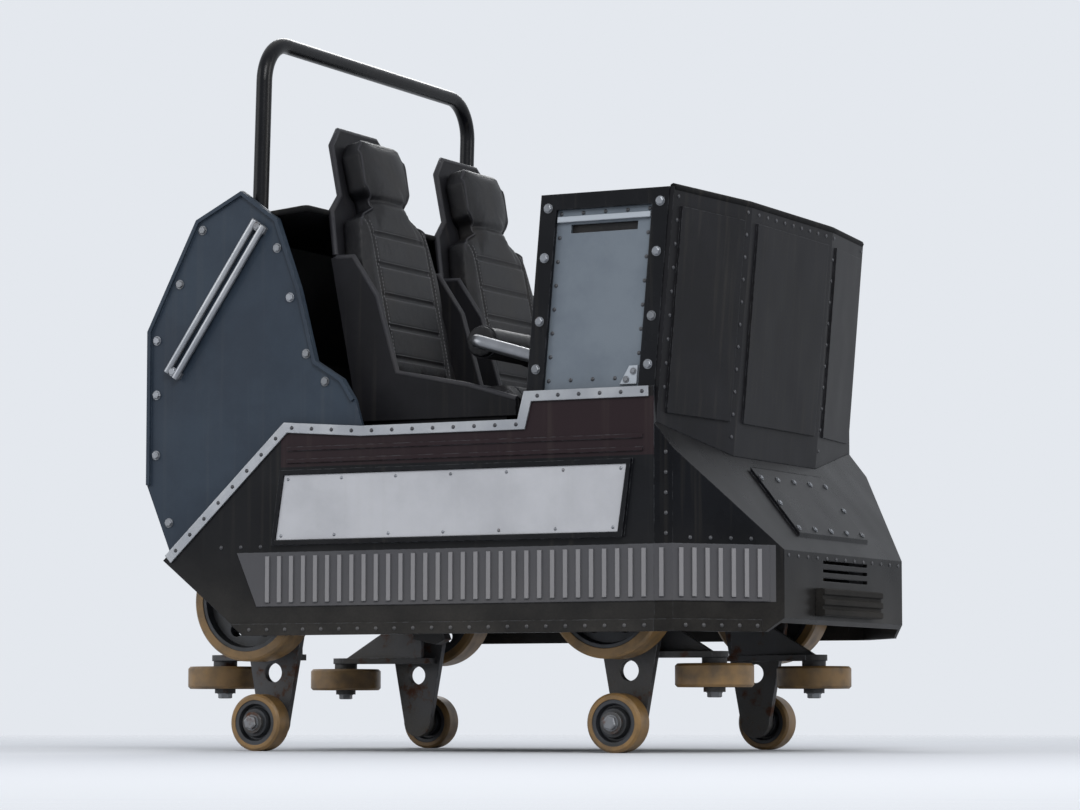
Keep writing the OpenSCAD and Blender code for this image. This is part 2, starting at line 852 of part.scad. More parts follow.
// Wing plate outline beside the seat: distance from the tail, height. It tucks behind the side panel.
WING_SHAPE = [
    [26, skirt_z + 192], [390, sill_z - 15], [600, sill_z - 15], [575, belt_z], [540, belt_z + 55],
    [460, wing_top_z - 460], [410, wing_top_z - 270], [340, wing_top_z - 80], [230, wing_top_z],
    [90, wing_top_z - 70], [-60, wing_top_z - 360], [-60, wing_top_z - 770],
];
WING_OUTLINE = [for (p = WING_SHAPE) [tail_x + p[0], p[1]]];

module wing_plate(side) {
    rim_w = 10;
    rim_h = 8;
    // The rim starts and ends clear of the side panel
    rim_from = 3;
    line = inset(WING_OUTLINE, rim_w / 2 + 1);
    rim_line = [for (i = [rim_from:len(line) - 1]) line[i]];
    color(blue_grey)
        on_side(side) {
            side_plate(WING_OUTLINE, wing_in, shell_t);
            side_plate(strip_outline(rim_line, rim_w), panel_in - 1, rim_h + 1);
        }
}

module wing_brace(side) {
    tube_r = 9;
    spacing = 30;
    low = [tail_x + 20, wing_top_z - 480];
    high = [tail_x + 290, wing_top_z - 90];
    slope = atan2(high[0] - low[0], high[1] - low[1]);
    y = panel_in + tube_r + 4;
    color(trim_grey)
        on_side(side) {
            for (k = [-1, 1])
                translate([low[0] + k * spacing / 2 * cos(slope), y, low[1] - k * spacing / 2 * sin(slope)])
                    rotate([0, slope, 0])
                        cylinder(h = norm(high - low), r = tube_r);
            for (p = [low + [6, 9], high - [6, 9]])
                translate([p[0], panel_in, p[1]])
                    rotate([0, slope, 0])
                        translate([-spacing / 2 - 10, 0, -9])
                            cube([spacing + 20, tube_r + 4, 18]);
        }
}

// Rear shell: its line in the side view, outer face, from the floor to the seat backs
shell_back_x = tail_x - 44;
shell_low = 162;
shell_high = 502;
shell_top = [tail_x + 100, floor_top + 792];
deck_z = floor_top + 822;
deck_x = back_x(deck_z, seat_t) - face_gap;
SHELL_LINE = [
    [tail_x, floor_top], [shell_back_x, floor_top + shell_low],
    [shell_back_x, floor_top + shell_high], shell_top, [deck_x, deck_z],
];

// Thickness t measured across a line that runs along d, on the axis that d's part a stands on
function across(t, d, a) = t * norm(d) / abs(a);

module rear_shell() {
    rib_h = 14;
    rib_t = 6;
    half = wing_in - 60;
    foot = SHELL_LINE[1] - SHELL_LINE[0];
    deck = SHELL_LINE[4] - SHELL_LINE[3];
    color(charcoal)
        difference() {
            union() {
                side_plate(concat(
                    SHELL_LINE,
                    [[deck_x, deck_z - across(shell_t, deck, deck[0])]],
                    [for (i = [3, 2, 1]) SHELL_LINE[i] - mitre(SHELL_LINE, i, 2 * shell_t)],
                    [[tail_x + across(shell_t, foot, foot[1]), floor_top]]
                ), -wing_in, 2 * wing_in);
                for (i = [1:4])
                    translate([shell_back_x - rib_t, -half, floor_top + shell_low + i * 68 - rib_h / 2])
                        cube([rib_t + 1, 2 * half, rib_h]);
            }
            hoop_tube(hoop_r + face_gap);
        }
}

// Seats: the back leans, s runs along it from the pan and d runs backwards from its face

// Place along the car of a seat back's plane d behind its face, at height z
function back_x(z, d) = hinge_x - d / cos(recline) - (z - hinge_z) * tan(recline);

module on_back() {
    translate([hinge_x, 0, hinge_z])
        rotate([0, -recline, 0])
            children();
}

// Half width between the bolsters
seat_in = seat_w / 2 - seat_t;

// Front view of a seat back, y s, and its left and right halves
function both_halves(half) = concat(half, [for (i = [len(half) - 1:-1:0]) [-half[i][0], half[i][1]]]);
BACK_OUTLINE = both_halves([
    [seat_in, -8], [seat_in, 430], [seat_in - 16, 560], [150, 610], [150, back_l - 50], [100, back_l],
]);

// A point of the side view, d ahead of the back's face and s up its slope
function back_pt(d, s) = [
    hinge_x + d * cos(recline) - s * sin(recline), hinge_z + d * sin(recline) + s * cos(recline),
];

module seat_base() {
    front_x = pan_front - 30;
    rear_x = hinge_x - 190;
    half = seat_y + seat_w / 2 - 10;
    wall = 10;
    color(charcoal)
        difference() {
            translate([rear_x, -half, floor_top])
                cube([front_x - rear_x, 2 * half, seat_pan_z - floor_top]);
            translate([rear_x - 1, -half + wall, floor_top - 1])
                cube([front_x - rear_x - wall + 1, 2 * (half - wall), seat_pan_z - floor_top - wall + 1]);
        }
}

module seat_shell(side) {
    pan_rear = hinge_x - seat_t - 2;
    rib_w = 12;
    rib_t = 8;
    color(charcoal)
        translate([0, side * seat_y, 0]) {
            translate([pan_rear, -seat_in, seat_pan_z])
                cube([pan_front - pan_rear, 2 * seat_in, seat_t]);
            on_back() {
                front_plate(BACK_OUTLINE, -seat_t, seat_t);
                for (y = [-110, 0, 110])
                    translate([-seat_t - rib_t, y - rib_w / 2, 60])
                        cube([rib_t + 1, rib_w, 400]);
            }
            for (y = [-seat_w / 2, seat_in])
                side_plate([
                    [pan_rear, seat_pan_z], [pan_front, seat_pan_z], [pan_front, hinge_z + 30],
                    [pan_front - 140, hinge_z + 70], back_pt(120, 90), back_pt(100, 300), back_pt(50, 420),
                    back_pt(0, 430), back_pt(-seat_t, 430), back_pt(-seat_t, 10), [pan_rear, hinge_z],
                ], y, seat_t);
        }
}

module seat_pad(side) {
    half = seat_in - 4;
    color(vinyl)
        translate([0, side * seat_y, 0])
            side_plate([
                [hinge_x + 62, hinge_z + face_gap], [pan_front - 4, hinge_z + face_gap],
                [pan_front, hinge_z + 40], [pan_front - 20, hinge_z + 66], [pan_front - 200, hinge_z + 58],
                [hinge_x + 64, hinge_z + 56],
            ], -half, 2 * half);
}

module back_pad(side) {
    half = seat_in - 4;
    color(vinyl)
        translate([0, side * seat_y, 0])
            on_back()
                front_plate(both_halves([
                    [half, 70], [half, 420], [half - 25, 540], [110, 575], [110, 600], [135, 625],
                    [135, back_l - 65], [95, back_l - 20],
                ]), face_gap, 70);
}

// Lap bars: pivot low in front of the seat, arms that bend back over the lap
lap_pivot = [nose_rear_x - 230, floor_top + 102];
// The arms rise, turn back by the steep angle of a 7 24 25 triangle and reach over the lap
lap_turn = acos(0.28);
lap_rise = 180;
lap_bend = 100;
lap_reach = 300;
lap_arm_y = 195;
lap_corner = 36;
lap_ear_y = lap_arm_y + 29;
lap_ear_t = 12;

// Ratchet sector outside an ear, and the clearance of the lifted pawl
sector_r = 66;
sector_t = 10;
sector_gap = 5.5;
tooth_h = 7;
tooth_turn = 7.5;
pawl_r = 9;
pawl_clear = 6;
lap_pad_at = [
    lap_pivot[0] - lap_bend * (1 - cos(lap_turn)) - lap_reach * sin(lap_turn),
    lap_pivot[1] + lap_rise + lap_bend * sin(lap_turn) + lap_reach * cos(lap_turn),
];

// One arm, turned in at its top for half of the bar across
module lap_arm() {
    translate([lap_pivot[0], lap_arm_y, lap_pivot[1]])
        rotate([0, 0, 180])
            bent_tube(lap_arm_r, [
                [lap_rise, lap_turn, lap_bend, 0],
                [lap_reach - lap_corner, 90, lap_corner, 90],
                [lap_arm_y - lap_corner, 0, 0, 0],
            ]);
}

// Toothed sector about +Z. Each tooth is steep on one flank, so that the pawl holds one way.
module sector() {
    first = 225;
    teeth = 11;
    points = [for (i = [0:teeth - 1]) for (q = [[0, 0], [0.25, 1]])
        let (a = first + (i + q[0]) * tooth_turn, r = sector_r - (1 - q[1]) * tooth_h) r * [cos(a), sin(a)]];
    last = first + teeth * tooth_turn;
    linear_extrude(sector_t)
        polygon(concat([[0, 0]], points, [(sector_r - tooth_h) * [cos(last), sin(last)]]));
    cylinder(h = sector_t + sector_gap - face_gap, r = lap_shaft_r + 8);
}

module lap_bar(side) {
    boss_half = 24;
    boss_out = lap_ear_y - lap_ear_t / 2 - face_gap;
    sector_y = lap_ear_y + lap_ear_t / 2 + sector_gap;
    shaft_end = sector_y + sector_t + 4;
    color(steel)
        translate([0, side * seat_y, 0])
            for (k = [0, 1])
                mirror([0, k, 0]) {
                    lap_arm();
                    cross_rod(lap_pivot[0], lap_arm_y, lap_pivot[1], lap_shaft_r, shaft_end - lap_arm_y);
                    cross_rod(lap_pivot[0], lap_arm_y - boss_half, lap_pivot[1],
                        lap_shaft_r + 8, boss_out - lap_arm_y + boss_half);
                    translate([lap_pivot[0], sector_y + sector_t, lap_pivot[1]])
                        rotate([90, 0, 0])
                            sector();
                }
}

module lap_pad(side) {
    color(vinyl)
        translate([0, side * seat_y, 0])
            difference() {
                cross_rod(lap_pad_at[0], -lap_pad_l / 2, lap_pad_at[1], lap_pad_r, lap_pad_l);
                cross_rod(lap_pad_at[0], -lap_pad_l, lap_pad_at[1], lap_arm_r + face_gap, 2 * lap_pad_l);
            }
}

module lap_bar_brackets() {
    half = 42;
    // The pawl stands lifted off the teeth, behind and below the pivot
    pawl_turn = 238;
    pawl_d = sector_r + pawl_clear + pawl_r;
    pawl = lap_pivot + pawl_d * [cos(pawl_turn), sin(pawl_turn)];
    x = lap_pivot[0];
    z = lap_pivot[1];
    color(steel)
        for (s = SIDES)
            for (k = [-1, 1])
                translate([0, s[1] * seat_y, 0])
                    on_side(k)
                        translate([0, lap_ear_y - lap_ear_t / 2, 0]) {
                            difference() {
                                union() {
                                    side_plate([
                                        [x - 78, floor_top], [x + 70, floor_top], [x + half, z], [x - half, z],
                                    ], 0, lap_ear_t);
                                    cross_rod(x, 0, z, half, lap_ear_t);
                                }
                                cross_rod(x, -1, z, lap_shaft_r + fit, lap_ear_t + 2);
                            }
                            cross_rod(pawl[0], lap_ear_t - 1, pawl[1], pawl_r, sector_gap + sector_t + 1);
                            side_plate([
                                pawl + [-pawl_r, 0], pawl + [-pawl_r - 24, 14], pawl + [-pawl_r - 22, 22],
                                pawl + [-2, pawl_r],
                            ], lap_ear_t + sector_gap, sector_t);
                        }
}

// Grab hoop on two foot plates on the floor
hoop_y = wing_in - 44;
hoop_x = tail_x + 230;
hoop_foot_t = 10;

module hoop_tube(r) {
    foot_z = floor_top + hoop_foot_t / 2;
    tilt = 1.5;
    rise = (hoop_top_z - hoop_r - foot_z) / cos(tilt) - hoop_bend;
    translate([hoop_x, hoop_y, foot_z])
        rotate([0, tilt, 0])
            rotate([0, 0, -90])
                bent_tube(r, [
                    [rise, 90, hoop_bend, 0], [2 * (hoop_y - hoop_bend), 90, hoop_bend, 0],
                    [rise, 0, 0, 0],
                ]);
}

module grab_hoop() {
    foot_l = 100;
    foot_w = 70;
    color(black) {
        hoop_tube(hoop_r);
        for (s = SIDES)
            translate([hoop_x - foot_l / 2, s[1] * hoop_y - foot_w / 2, floor_top])
                cube([foot_l, foot_w, hoop_foot_t]);
    }
}

chassis_frame();
rear_axle();
front_axle();
floor_pan();
nose_shell();
front_bumper();
front_shield();
cowl_frame();
seat_base();
rear_shell();
grab_hoop();
lap_bar_brackets();
brake_fins();
chain_dog();
rear_hitch();
for (s = SIDES) {
    side_panel(s[1]);
    sill_trim(s[1]);
    name_board(s[1]);
    cowl_panel(s[1]);
    wing_plate(s[1]);
    wing_brace(s[1]);
    seat_shell(s[1]);
    seat_pad(s[1]);
    back_pad(s[1]);
    lap_bar(s[1]);
    lap_pad(s[1]);
}
for (c = CORNERS) {
    wheel_carrier(c);
    running_wheel(c);
    guide_wheel(c);
    up_stop_wheel(c);
}
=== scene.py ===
import math

import bmesh
import bpy
from mathutils import Matrix, Vector
from mathutils.bvhtree import BVHTree


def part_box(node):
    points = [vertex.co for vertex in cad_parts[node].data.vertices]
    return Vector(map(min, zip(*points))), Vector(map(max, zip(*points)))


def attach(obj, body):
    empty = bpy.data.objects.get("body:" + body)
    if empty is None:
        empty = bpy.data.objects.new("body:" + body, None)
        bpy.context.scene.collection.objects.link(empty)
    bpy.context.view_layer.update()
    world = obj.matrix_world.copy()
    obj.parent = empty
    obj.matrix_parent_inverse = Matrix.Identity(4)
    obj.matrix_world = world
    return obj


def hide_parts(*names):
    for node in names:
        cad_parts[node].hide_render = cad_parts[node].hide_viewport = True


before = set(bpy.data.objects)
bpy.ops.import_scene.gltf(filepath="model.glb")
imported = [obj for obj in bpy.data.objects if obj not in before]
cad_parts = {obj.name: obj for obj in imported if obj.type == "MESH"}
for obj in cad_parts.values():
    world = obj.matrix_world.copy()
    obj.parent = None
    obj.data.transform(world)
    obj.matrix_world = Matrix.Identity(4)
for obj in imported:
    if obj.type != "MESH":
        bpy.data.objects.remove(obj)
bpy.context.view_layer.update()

bl_info = {
    "name": "Coaster Car Dressing",
    "version": (1, 0, 0),
    "blender": (4, 5, 0),
    "location": "View3D > Sidebar > Coaster Car",
    "description": "Finishes, padding, fasteners and a plain studio for the solids of a coaster car",
    "category": "Object",
}

# Places that repeat the solids' own, in metres: x is forward, y is the car's left, z is up
SIDES = (("l", 1), ("r", -1))
# Each axle's tag, its x, the way from it to its guide wheels, and its body
AXLES = (("r", -0.59, -1, "root"), ("f", 0.46, 1, "front_bogie"))
RUN_Z = 0.395  # centres of the running wheels
STOP_Z = 0.075  # centres of the up-stop wheels
GUIDE_X, GUIDE_Y = 0.2, 0.325  # the guide wheels' pins, from the axle and from the middle
CARRIER_IN, CARRIER_OUT = 0.385, 0.405  # inner and outer face of the wheel carriers
CLAMP_Y = 0.413  # outer face of the clamp plates round the running wheels' spindles
PANEL_Y = 0.638  # outer face of the side panels
WING_Y = 0.626  # outer face of the wing plates and the cowl's posts
COWL_Y = 0.614  # outer face of the cowl's side panels
HOOP_Y = 0.57  # the hoop's legs, from the middle
BELT_Z = 0.905  # top of the side panels, where the cowl stands
RAKE = math.radians(5)  # lean of the cowl and the shield
LEAN = Matrix.Rotation(RAKE, 3, "Y")
SHIELD_FOOT = Vector((0.636, 0, BELT_Z))
TAPER = math.atan(1.22)  # turn of the nose's tapered sides, seen from above
SLOPE = 310 / 245  # fall of the hood
SEAT_Y = 0.29  # middle of a seat
HINGE = Vector((-0.25, 0, 0.87))  # where a seat's back meets its base
RECLINE = math.radians(11)
BOLSTER = 0.145  # from a pad's middle to the seams of its bolsters
STITCH_OFF = 0.009  # from a seam to the stitches beside it
STEP = 0.01  # between the points of a seam line

# How many cells each pattern of the finishes has in a metre
CLOUDS = 4.0  # drifts in colour and dust, 250 mm wide
SPECKS = 190.0  # grains of dust, 5 mm apart
STREAKS = (46.0, 46.0, 1.3)  # rain streaks, 22 mm apart and 770 mm long
CHIPS = 60.0  # chips along the edges, 17 mm apart
RUST_SPOTS = 16.0  # 60 mm apart
BUCKLES = 5.0  # waves in thin sheet, 200 mm long
CREASES = 26.0  # folds in vinyl, 38 mm apart
RUBS = 9.0  # rubbed places on vinyl, 110 mm wide
GRIME = 22.0  # scuffs on the wheels, 45 mm wide
VINYL_GRAIN = 1 / 0.0024  # the real grain is about 1.2 mm; it is drawn at 2.4 mm so that it shows


def linear(code):
    """An sRGB hex code as the linear colour that a shader takes."""
    values = [int(code[i:i + 2], 16) / 255 for i in (0, 2, 4)]
    return tuple(v / 12.92 if v <= 0.04045 else ((v + 0.055) / 1.055) ** 2.4 for v in values)


def rgba(colour):
    """An opaque colour, from its sRGB hex code or its linear values."""
    return (*(linear(colour) if isinstance(colour, str) else colour), 1.0)


# Sizes and colours

def size(name, value, description):
    """A length that the panel shows."""
    return bpy.props.FloatProperty(
        name=name, description=description, default=value, min=0.0, subtype="DISTANCE", unit="LENGTH")


def tint(name, code, description):
    """A colour that the panel shows."""
    return bpy.props.FloatVectorProperty(
        name=name, description=description, default=linear(code), size=3, min=0, max=1, subtype="COLOR")


class CoasterSizes(bpy.types.PropertyGroup):
    bolt_radius: size("Bolt radius", 0.0105, "Radius of a hexagon head over its corners")
    bolt_height: size("Bolt height", 0.0065, "Height of a hexagon head")
    washer_radius: size("Washer radius", 0.0125, "Radius of the washer under a bolt")
    rivet_radius: size("Rivet radius", 0.0055, "Radius of a dome rivet's head")
    rivet_height: size("Rivet height", 0.0028, "Height of a dome rivet's head")
    bead_radius: size("Weld radius", 0.0045, "Radius of a weld bead")
    bead_pitch: size("Weld pitch", 0.006, "Length of one ripple in a weld bead")
    piping_radius: size("Piping radius", 0.0035, "Radius of the piping along a cushion's edge")
    stitch_length: size("Stitch length", 0.007, "Length of one stitch in the vinyl")
    stitch_gap: size("Stitch gap", 0.010, "Distance from one stitch to the next")
    voxel: size("Pad grid", 0.0065, "Grid of the pads' mesh before they are blown up")
    lug_length: size("Lug length", 0.024, "Length of one raised lug of the tread plate")


class CoasterColours(bpy.types.PropertyGroup):
    body: tint("Body enamel", "0c0d10", "Black enamel of the body shell")
    charcoal: tint("Shell coat", "161618", "Satin coat of the shield, floor and rear shell")
    wing: tint("Wing plates", "232c37", "Matt blue-grey of the wing plates beside the seats")
    cowl: tint("Cowl panels", "5a626b", "Grey metal of the panels between the cowl's posts")
    # Painted highlight: the lips and brackets get a lighter colour that stands in for the light along the
    # cowl panels' top edges
    lip_highlight: tint("Cowl lips", "9da3aa", "Rubbed metal of the lips and brackets on the cowl panels")
    board: tint("Name board", "acadb1", "Pale enamel of the blank name boards")
    band: tint("Ribbed band", "48484b", "Grey of the ribbed band under the name board")
    # Painted highlight: the ribs' faces get a lighter grey that stands in for the light along their ridges
    rib_highlight: tint("Rib faces", "7b7a7c", "Rubbed grey of the ribs on the band")
    strip: tint("Upper strip", "23191c", "Brownish black of the strip above the name board")
    trim: tint("Edge trim", "8d9095", "Bare metal of the sill trim and braces")
    steel: tint("Running gear", "43454a", "Oiled steel of the running gear")
    tyre: tint("Tyres", "7f6239", "Cast polyurethane of the wheels' tyres")
    vinyl: tint("Vinyl", "0d0d10", "Upholstery of seats and lap bars")
    rust: tint("Rust", "5a3620", "Rust in the steel's corners")
    dust: tint("Dust", "7d766a", "Road and wood dust on low and level places")
    floor: tint("Floor", "c2c4c8", "The studio's floor and backdrop")


# Node trees

def add(tree, kind, inputs=None, output=0, **settings):
    """Adds one node with its settings, feeds each input with a value or another node's socket, and
    gives back one of its outputs."""
    node = tree.nodes.new(kind)
    for key, value in settings.items():
        setattr(node, key, value)
    for key, value in (inputs or {}).items():
        if isinstance(value, bpy.types.NodeSocket):
            tree.links.new(value, node.inputs[key])
        else:
            node.inputs[key].default_value = value
    return node.outputs[output] if node.outputs else None


def new_material(name):
    """A material without nodes, and its tree."""
    material = bpy.data.materials.new(name)
    material.use_nodes = True
    material.node_tree.nodes.clear()
    return material, material.node_tree


def layered(tree, start, layers, kind):
    """Lays each (mask, value) over what is under it, and returns the last socket."""
    a, b, mixed = (6, 7, 2) if kind == "RGBA" else (2, 3, 0)
    for mask, value in layers:
        start = add(tree, "ShaderNodeMix", {0: mask, a: start, b: value}, mixed, data_type=kind)
    return start


def zone_mask(tree, place, low, high, pivot=None, turn=0.0):
    """1 inside a box on both sides of the car, from its low and high corners on the left. The box may
    be turned in plan about a pivot."""
    x, y, z = add(tree, "ShaderNodeSeparateXYZ", {0: place}).node.outputs
    y = add(tree, "ShaderNodeMath", {0: y}, operation="ABSOLUTE")
    point = add(tree, "ShaderNodeCombineXYZ", {0: x, 1: y, 2: z})
    if pivot:
        point = add(tree, "ShaderNodeVectorRotate", {
            "Vector": point, "Center": pivot, "Axis": (0, 0, 1), "Angle": -turn})
    low, high = Vector(low), Vector(high)
    off = add(tree, "ShaderNodeVectorMath", {0: point, 1: (low + high) / 2}, operation="SUBTRACT")
    off = add(tree, "ShaderNodeVectorMath", {0: off}, operation="ABSOLUTE")
    off = add(tree, "ShaderNodeVectorMath", {0: off, 1: (high - low) / 2}, operation="SUBTRACT")
    x, y, z = add(tree, "ShaderNodeSeparateXYZ", {0: off}).node.outputs
    most = add(tree, "ShaderNodeMath", {0: x, 1: y}, operation="MAXIMUM")
    most = add(tree, "ShaderNodeMath", {0: most, 1: z}, operation="MAXIMUM")
    return add(tree, "ShaderNodeMath", {0: most, 1: 0.0}, operation="LESS_THAN")


def coat(name, base, patch, rough, metal=0.0, bare=None, wear=0.5, dust=0.4, rust=0.0, grain=0.1,
         grain_size=0.004, stretch=(1, 1, 1), edge=0.0032, zones=(), clear=0.0, gloss=0.4, buckle=0.0):
    """A hard finish. Its colour drifts to `patch`, its edges are worn to `bare`, dust lies low down and
    on level faces, and rust spreads in spots. `grain` is the bump of a surface whose texture is
    `grain_size` wide, drawn out by `stretch`, and `buckle` the slow waves of thin sheet."""
    colours = bpy.context.scene.coaster_colours
    material, tree = new_material(name)
    place = add(tree, "ShaderNodeTexCoord", output="Object")
    normal = add(tree, "ShaderNodeNewGeometry", output="Normal")
    cloud = add(tree, "ShaderNodeTexNoise", {
        "Vector": place, "Scale": CLOUDS, "Detail": 7.0, "Roughness": 0.62})
    speck = add(tree, "ShaderNodeTexNoise", {"Vector": place, "Scale": SPECKS, "Detail": 6.0})
    drift = add(tree, "ShaderNodeMapRange", {0: cloud, 1: 0.35, 2: 0.68}, interpolation_type="SMOOTHSTEP")
    colour = layered(tree, rgba(base), [(drift, rgba(patch))], "RGBA")
    painted = [(zone_mask(tree, place, *box), rgba(over)) for box, over in zones]
    colour = layered(tree, colour, painted, "RGBA")

    # Rain streaks run down the sides
    fall = add(tree, "ShaderNodeMapping", {"Vector": place, "Scale": STREAKS})
    streak = add(tree, "ShaderNodeTexNoise", {"Vector": fall, "Scale": 1.0, "Detail": 5.0})
    streak = add(tree, "ShaderNodeMapRange", {0: streak, 1: 0.55, 2: 0.80, 4: 0.22 * dust})

    # Dust lies on faces that look up, and rises from the wheels. It is a thin film, thicker in clouds.
    up = add(tree, "ShaderNodeSeparateXYZ", {0: normal}, 2)
    up = add(tree, "ShaderNodeMapRange", {0: up, 1: 0.5, 2: 1.0, 4: 0.6})
    low = add(tree, "ShaderNodeSeparateXYZ", {0: place}, 2)
    low = add(tree, "ShaderNodeMapRange", {0: low, 1: 0.62, 2: 0.15, 4: 0.8}, interpolation_type="SMOOTHSTEP")
    laid = add(tree, "ShaderNodeMath", {0: up, 1: low}, operation="MAXIMUM")
    loose = add(tree, "ShaderNodeMapRange", {0: cloud, 1: 0.30, 2: 0.75, 3: 0.25 * dust, 4: dust})
    fine = add(tree, "ShaderNodeMapRange", {0: speck, 1: 0.25, 2: 0.75, 3: 0.65, 4: 1.0})
    loose = add(tree, "ShaderNodeMath", {0: loose, 1: fine}, operation="MULTIPLY")
    laid = add(tree, "ShaderNodeMath", {0: laid, 1: loose}, operation="MULTIPLY")
    laid = add(tree, "ShaderNodeMath", {0: laid, 1: streak}, operation="MAXIMUM")

    # Where the rounded normal leaves the flat one, an edge is worn
    round_edge = add(tree, "ShaderNodeBevel", {"Radius": edge}, samples=4)
    match = add(tree, "ShaderNodeVectorMath", {0: round_edge, 1: normal}, 1, operation="DOT_PRODUCT")
    worn = add(tree, "ShaderNodeMapRange", {0: match, 1: 0.97, 2: 0.80})
    chips = add(tree, "ShaderNodeTexNoise", {"Vector": place, "Scale": CHIPS, "Detail": 8.0})
    chips = add(tree, "ShaderNodeMapRange", {0: chips, 1: 0.44, 2: 0.58, 4: wear})
    worn = add(tree, "ShaderNodeMath", {0: worn, 1: chips}, operation="MULTIPLY")

    # What lies on the coat, by its mask, with its colour and its roughness
    layers = [(laid, colours.dust, 0.85)]
    if bare is not None:
        layers.append((worn, bare, 0.42))
    if rust > 0:
        spots = add(tree, "ShaderNodeTexNoise", {
            "Vector": place, "Scale": RUST_SPOTS, "Detail": 10.0, "Roughness": 0.7})
        spots = add(tree, "ShaderNodeMapRange", {
            0: spots, 1: 0.62 - 0.16 * rust, 2: 0.70 - 0.1 * rust, 4: 0.8})
        layers.append((spots, colours.rust, 0.9))
    colour = layered(tree, colour, [(mask, rgba(over)) for mask, over, dull in layers], "RGBA")
    blotch = add(tree, "ShaderNodeMapRange", {0: cloud, 3: max(rough - 0.07, 0.05), 4: rough + 0.07})
    blotch = layered(tree, blotch, [(mask, dull) for mask, over, dull in layers], "FLOAT")

    run = add(tree, "ShaderNodeMapping", {"Vector": place, "Scale": stretch})
    texture = add(tree, "ShaderNodeTexNoise", {"Vector": run, "Scale": 1 / grain_size, "Detail": 3.0})
    bump = add(tree, "ShaderNodeBump", {
        "Strength": grain, "Distance": 0.001, "Height": texture, "Normal": round_edge})
    if buckle > 0:
        wave = add(tree, "ShaderNodeTexNoise", {"Vector": place, "Scale": BUCKLES, "Detail": 1.0})
        bump = add(tree, "ShaderNodeBump", {
            "Strength": buckle, "Distance": 0.02, "Height": wave, "Normal": bump})
    shader = add(tree, "ShaderNodeBsdfPrincipled", {
        "Base Color": colour, "Metallic": metal, "Roughness": blotch, "Normal": bump,
        "Specular IOR Level": gloss, "Coat Weight": clear, "Coat Roughness": 0.12})
    add(tree, "ShaderNodeOutputMaterial", {"Surface": shader})
    return material


def vinyl(name, base):
    """Upholstery vinyl, embossed with a leather grain. Soft highlights break up over the grain, and the
    folds hold a little dust."""
    colours = bpy.context.scene.coaster_colours
    material, tree = new_material(name)
    place = add(tree, "ShaderNodeTexCoord", output="Object")
    cells = add(tree, "ShaderNodeTexVoronoi", {"Vector": place, "Scale": VINYL_GRAIN},
                feature="DISTANCE_TO_EDGE")
    cells = add(tree, "ShaderNodeMapRange", {0: cells, 1: 0.0, 2: 0.14})
    crease = add(tree, "ShaderNodeTexNoise", {
        "Vector": place, "Scale": CREASES, "Detail": 3.0, "Distortion": 0.8})
    cloud = add(tree, "ShaderNodeTexNoise", {"Vector": place, "Scale": RUBS, "Detail": 6.0})
    rubbed = add(tree, "ShaderNodeMapRange", {0: cloud, 1: 0.45, 2: 0.75, 4: 0.05})
    colour = layered(tree, rgba(base), [(rubbed, rgba(colours.dust))], "RGBA")
    rough = add(tree, "ShaderNodeMapRange", {0: cloud, 3: 0.36, 4: 0.56})
    fold = add(tree, "ShaderNodeBump", {"Strength": 0.35, "Distance": 0.004, "Height": crease})
    bump = add(tree, "ShaderNodeBump", {
        "Strength": 0.35, "Distance": 0.0006, "Height": cells, "Normal": fold})
    shader = add(tree, "ShaderNodeBsdfPrincipled", {
        "Base Color": colour, "Roughness": rough, "Normal": bump, "Specular IOR Level": 0.22})
    add(tree, "ShaderNodeOutputMaterial", {"Surface": shader})
    return material


def wheel_finish(name, centre, spread, plane, rim):
    """A cast polyurethane tyre bonded to a painted iron hub: amber and satin on the tread, dark and
    oily towards the bearing. The wheels of one kind share it, as `spread` folds them onto one axis."""
    colours = bpy.context.scene.coaster_colours
    material, tree = new_material(name)
    place = add(tree, "ShaderNodeTexCoord", output="Object")
    off = add(tree, "ShaderNodeVectorMath", {0: place, 1: centre}, operation="SUBTRACT")
    off = add(tree, "ShaderNodeVectorMath", {0: off}, operation="ABSOLUTE")
    off = add(tree, "ShaderNodeVectorMath", {0: off, 1: spread}, operation="SUBTRACT")
    off = add(tree, "ShaderNodeVectorMath", {0: off, 1: plane}, operation="MULTIPLY")
    radius = add(tree, "ShaderNodeVectorMath", {0: off}, 1, operation="LENGTH")
    tyre = add(tree, "ShaderNodeMapRange", {0: radius, 1: rim - 0.0004, 2: rim + 0.0004})
    grime = add(tree, "ShaderNodeTexNoise", {"Vector": place, "Scale": GRIME, "Detail": 8.0})
    scuff = add(tree, "ShaderNodeMapRange", {0: grime, 1: 0.42, 2: 0.7, 4: 0.75})
    amber = layered(tree, rgba(colours.tyre), [(scuff, rgba("4d4030"))], "RGBA")
    iron = layered(tree, rgba("2c2e32"), [(scuff, rgba("17150f"))], "RGBA")
    colour = layered(tree, iron, [(tyre, amber)], "RGBA")
    rough = add(tree, "ShaderNodeMapRange", {0: grime, 3: 0.32, 4: 0.62})
    edge = add(tree, "ShaderNodeBevel", {"Radius": 0.003}, samples=4)
    bump = add(tree, "ShaderNodeBump", {
        "Strength": 0.25, "Distance": 0.0008, "Height": grime, "Normal": edge})
    shader = add(tree, "ShaderNodeBsdfPrincipled", {"Base Color": colour, "Roughness": rough, "Normal": bump})
    add(tree, "ShaderNodeOutputMaterial", {"Surface": shader})
    return material


FINISHES = {}


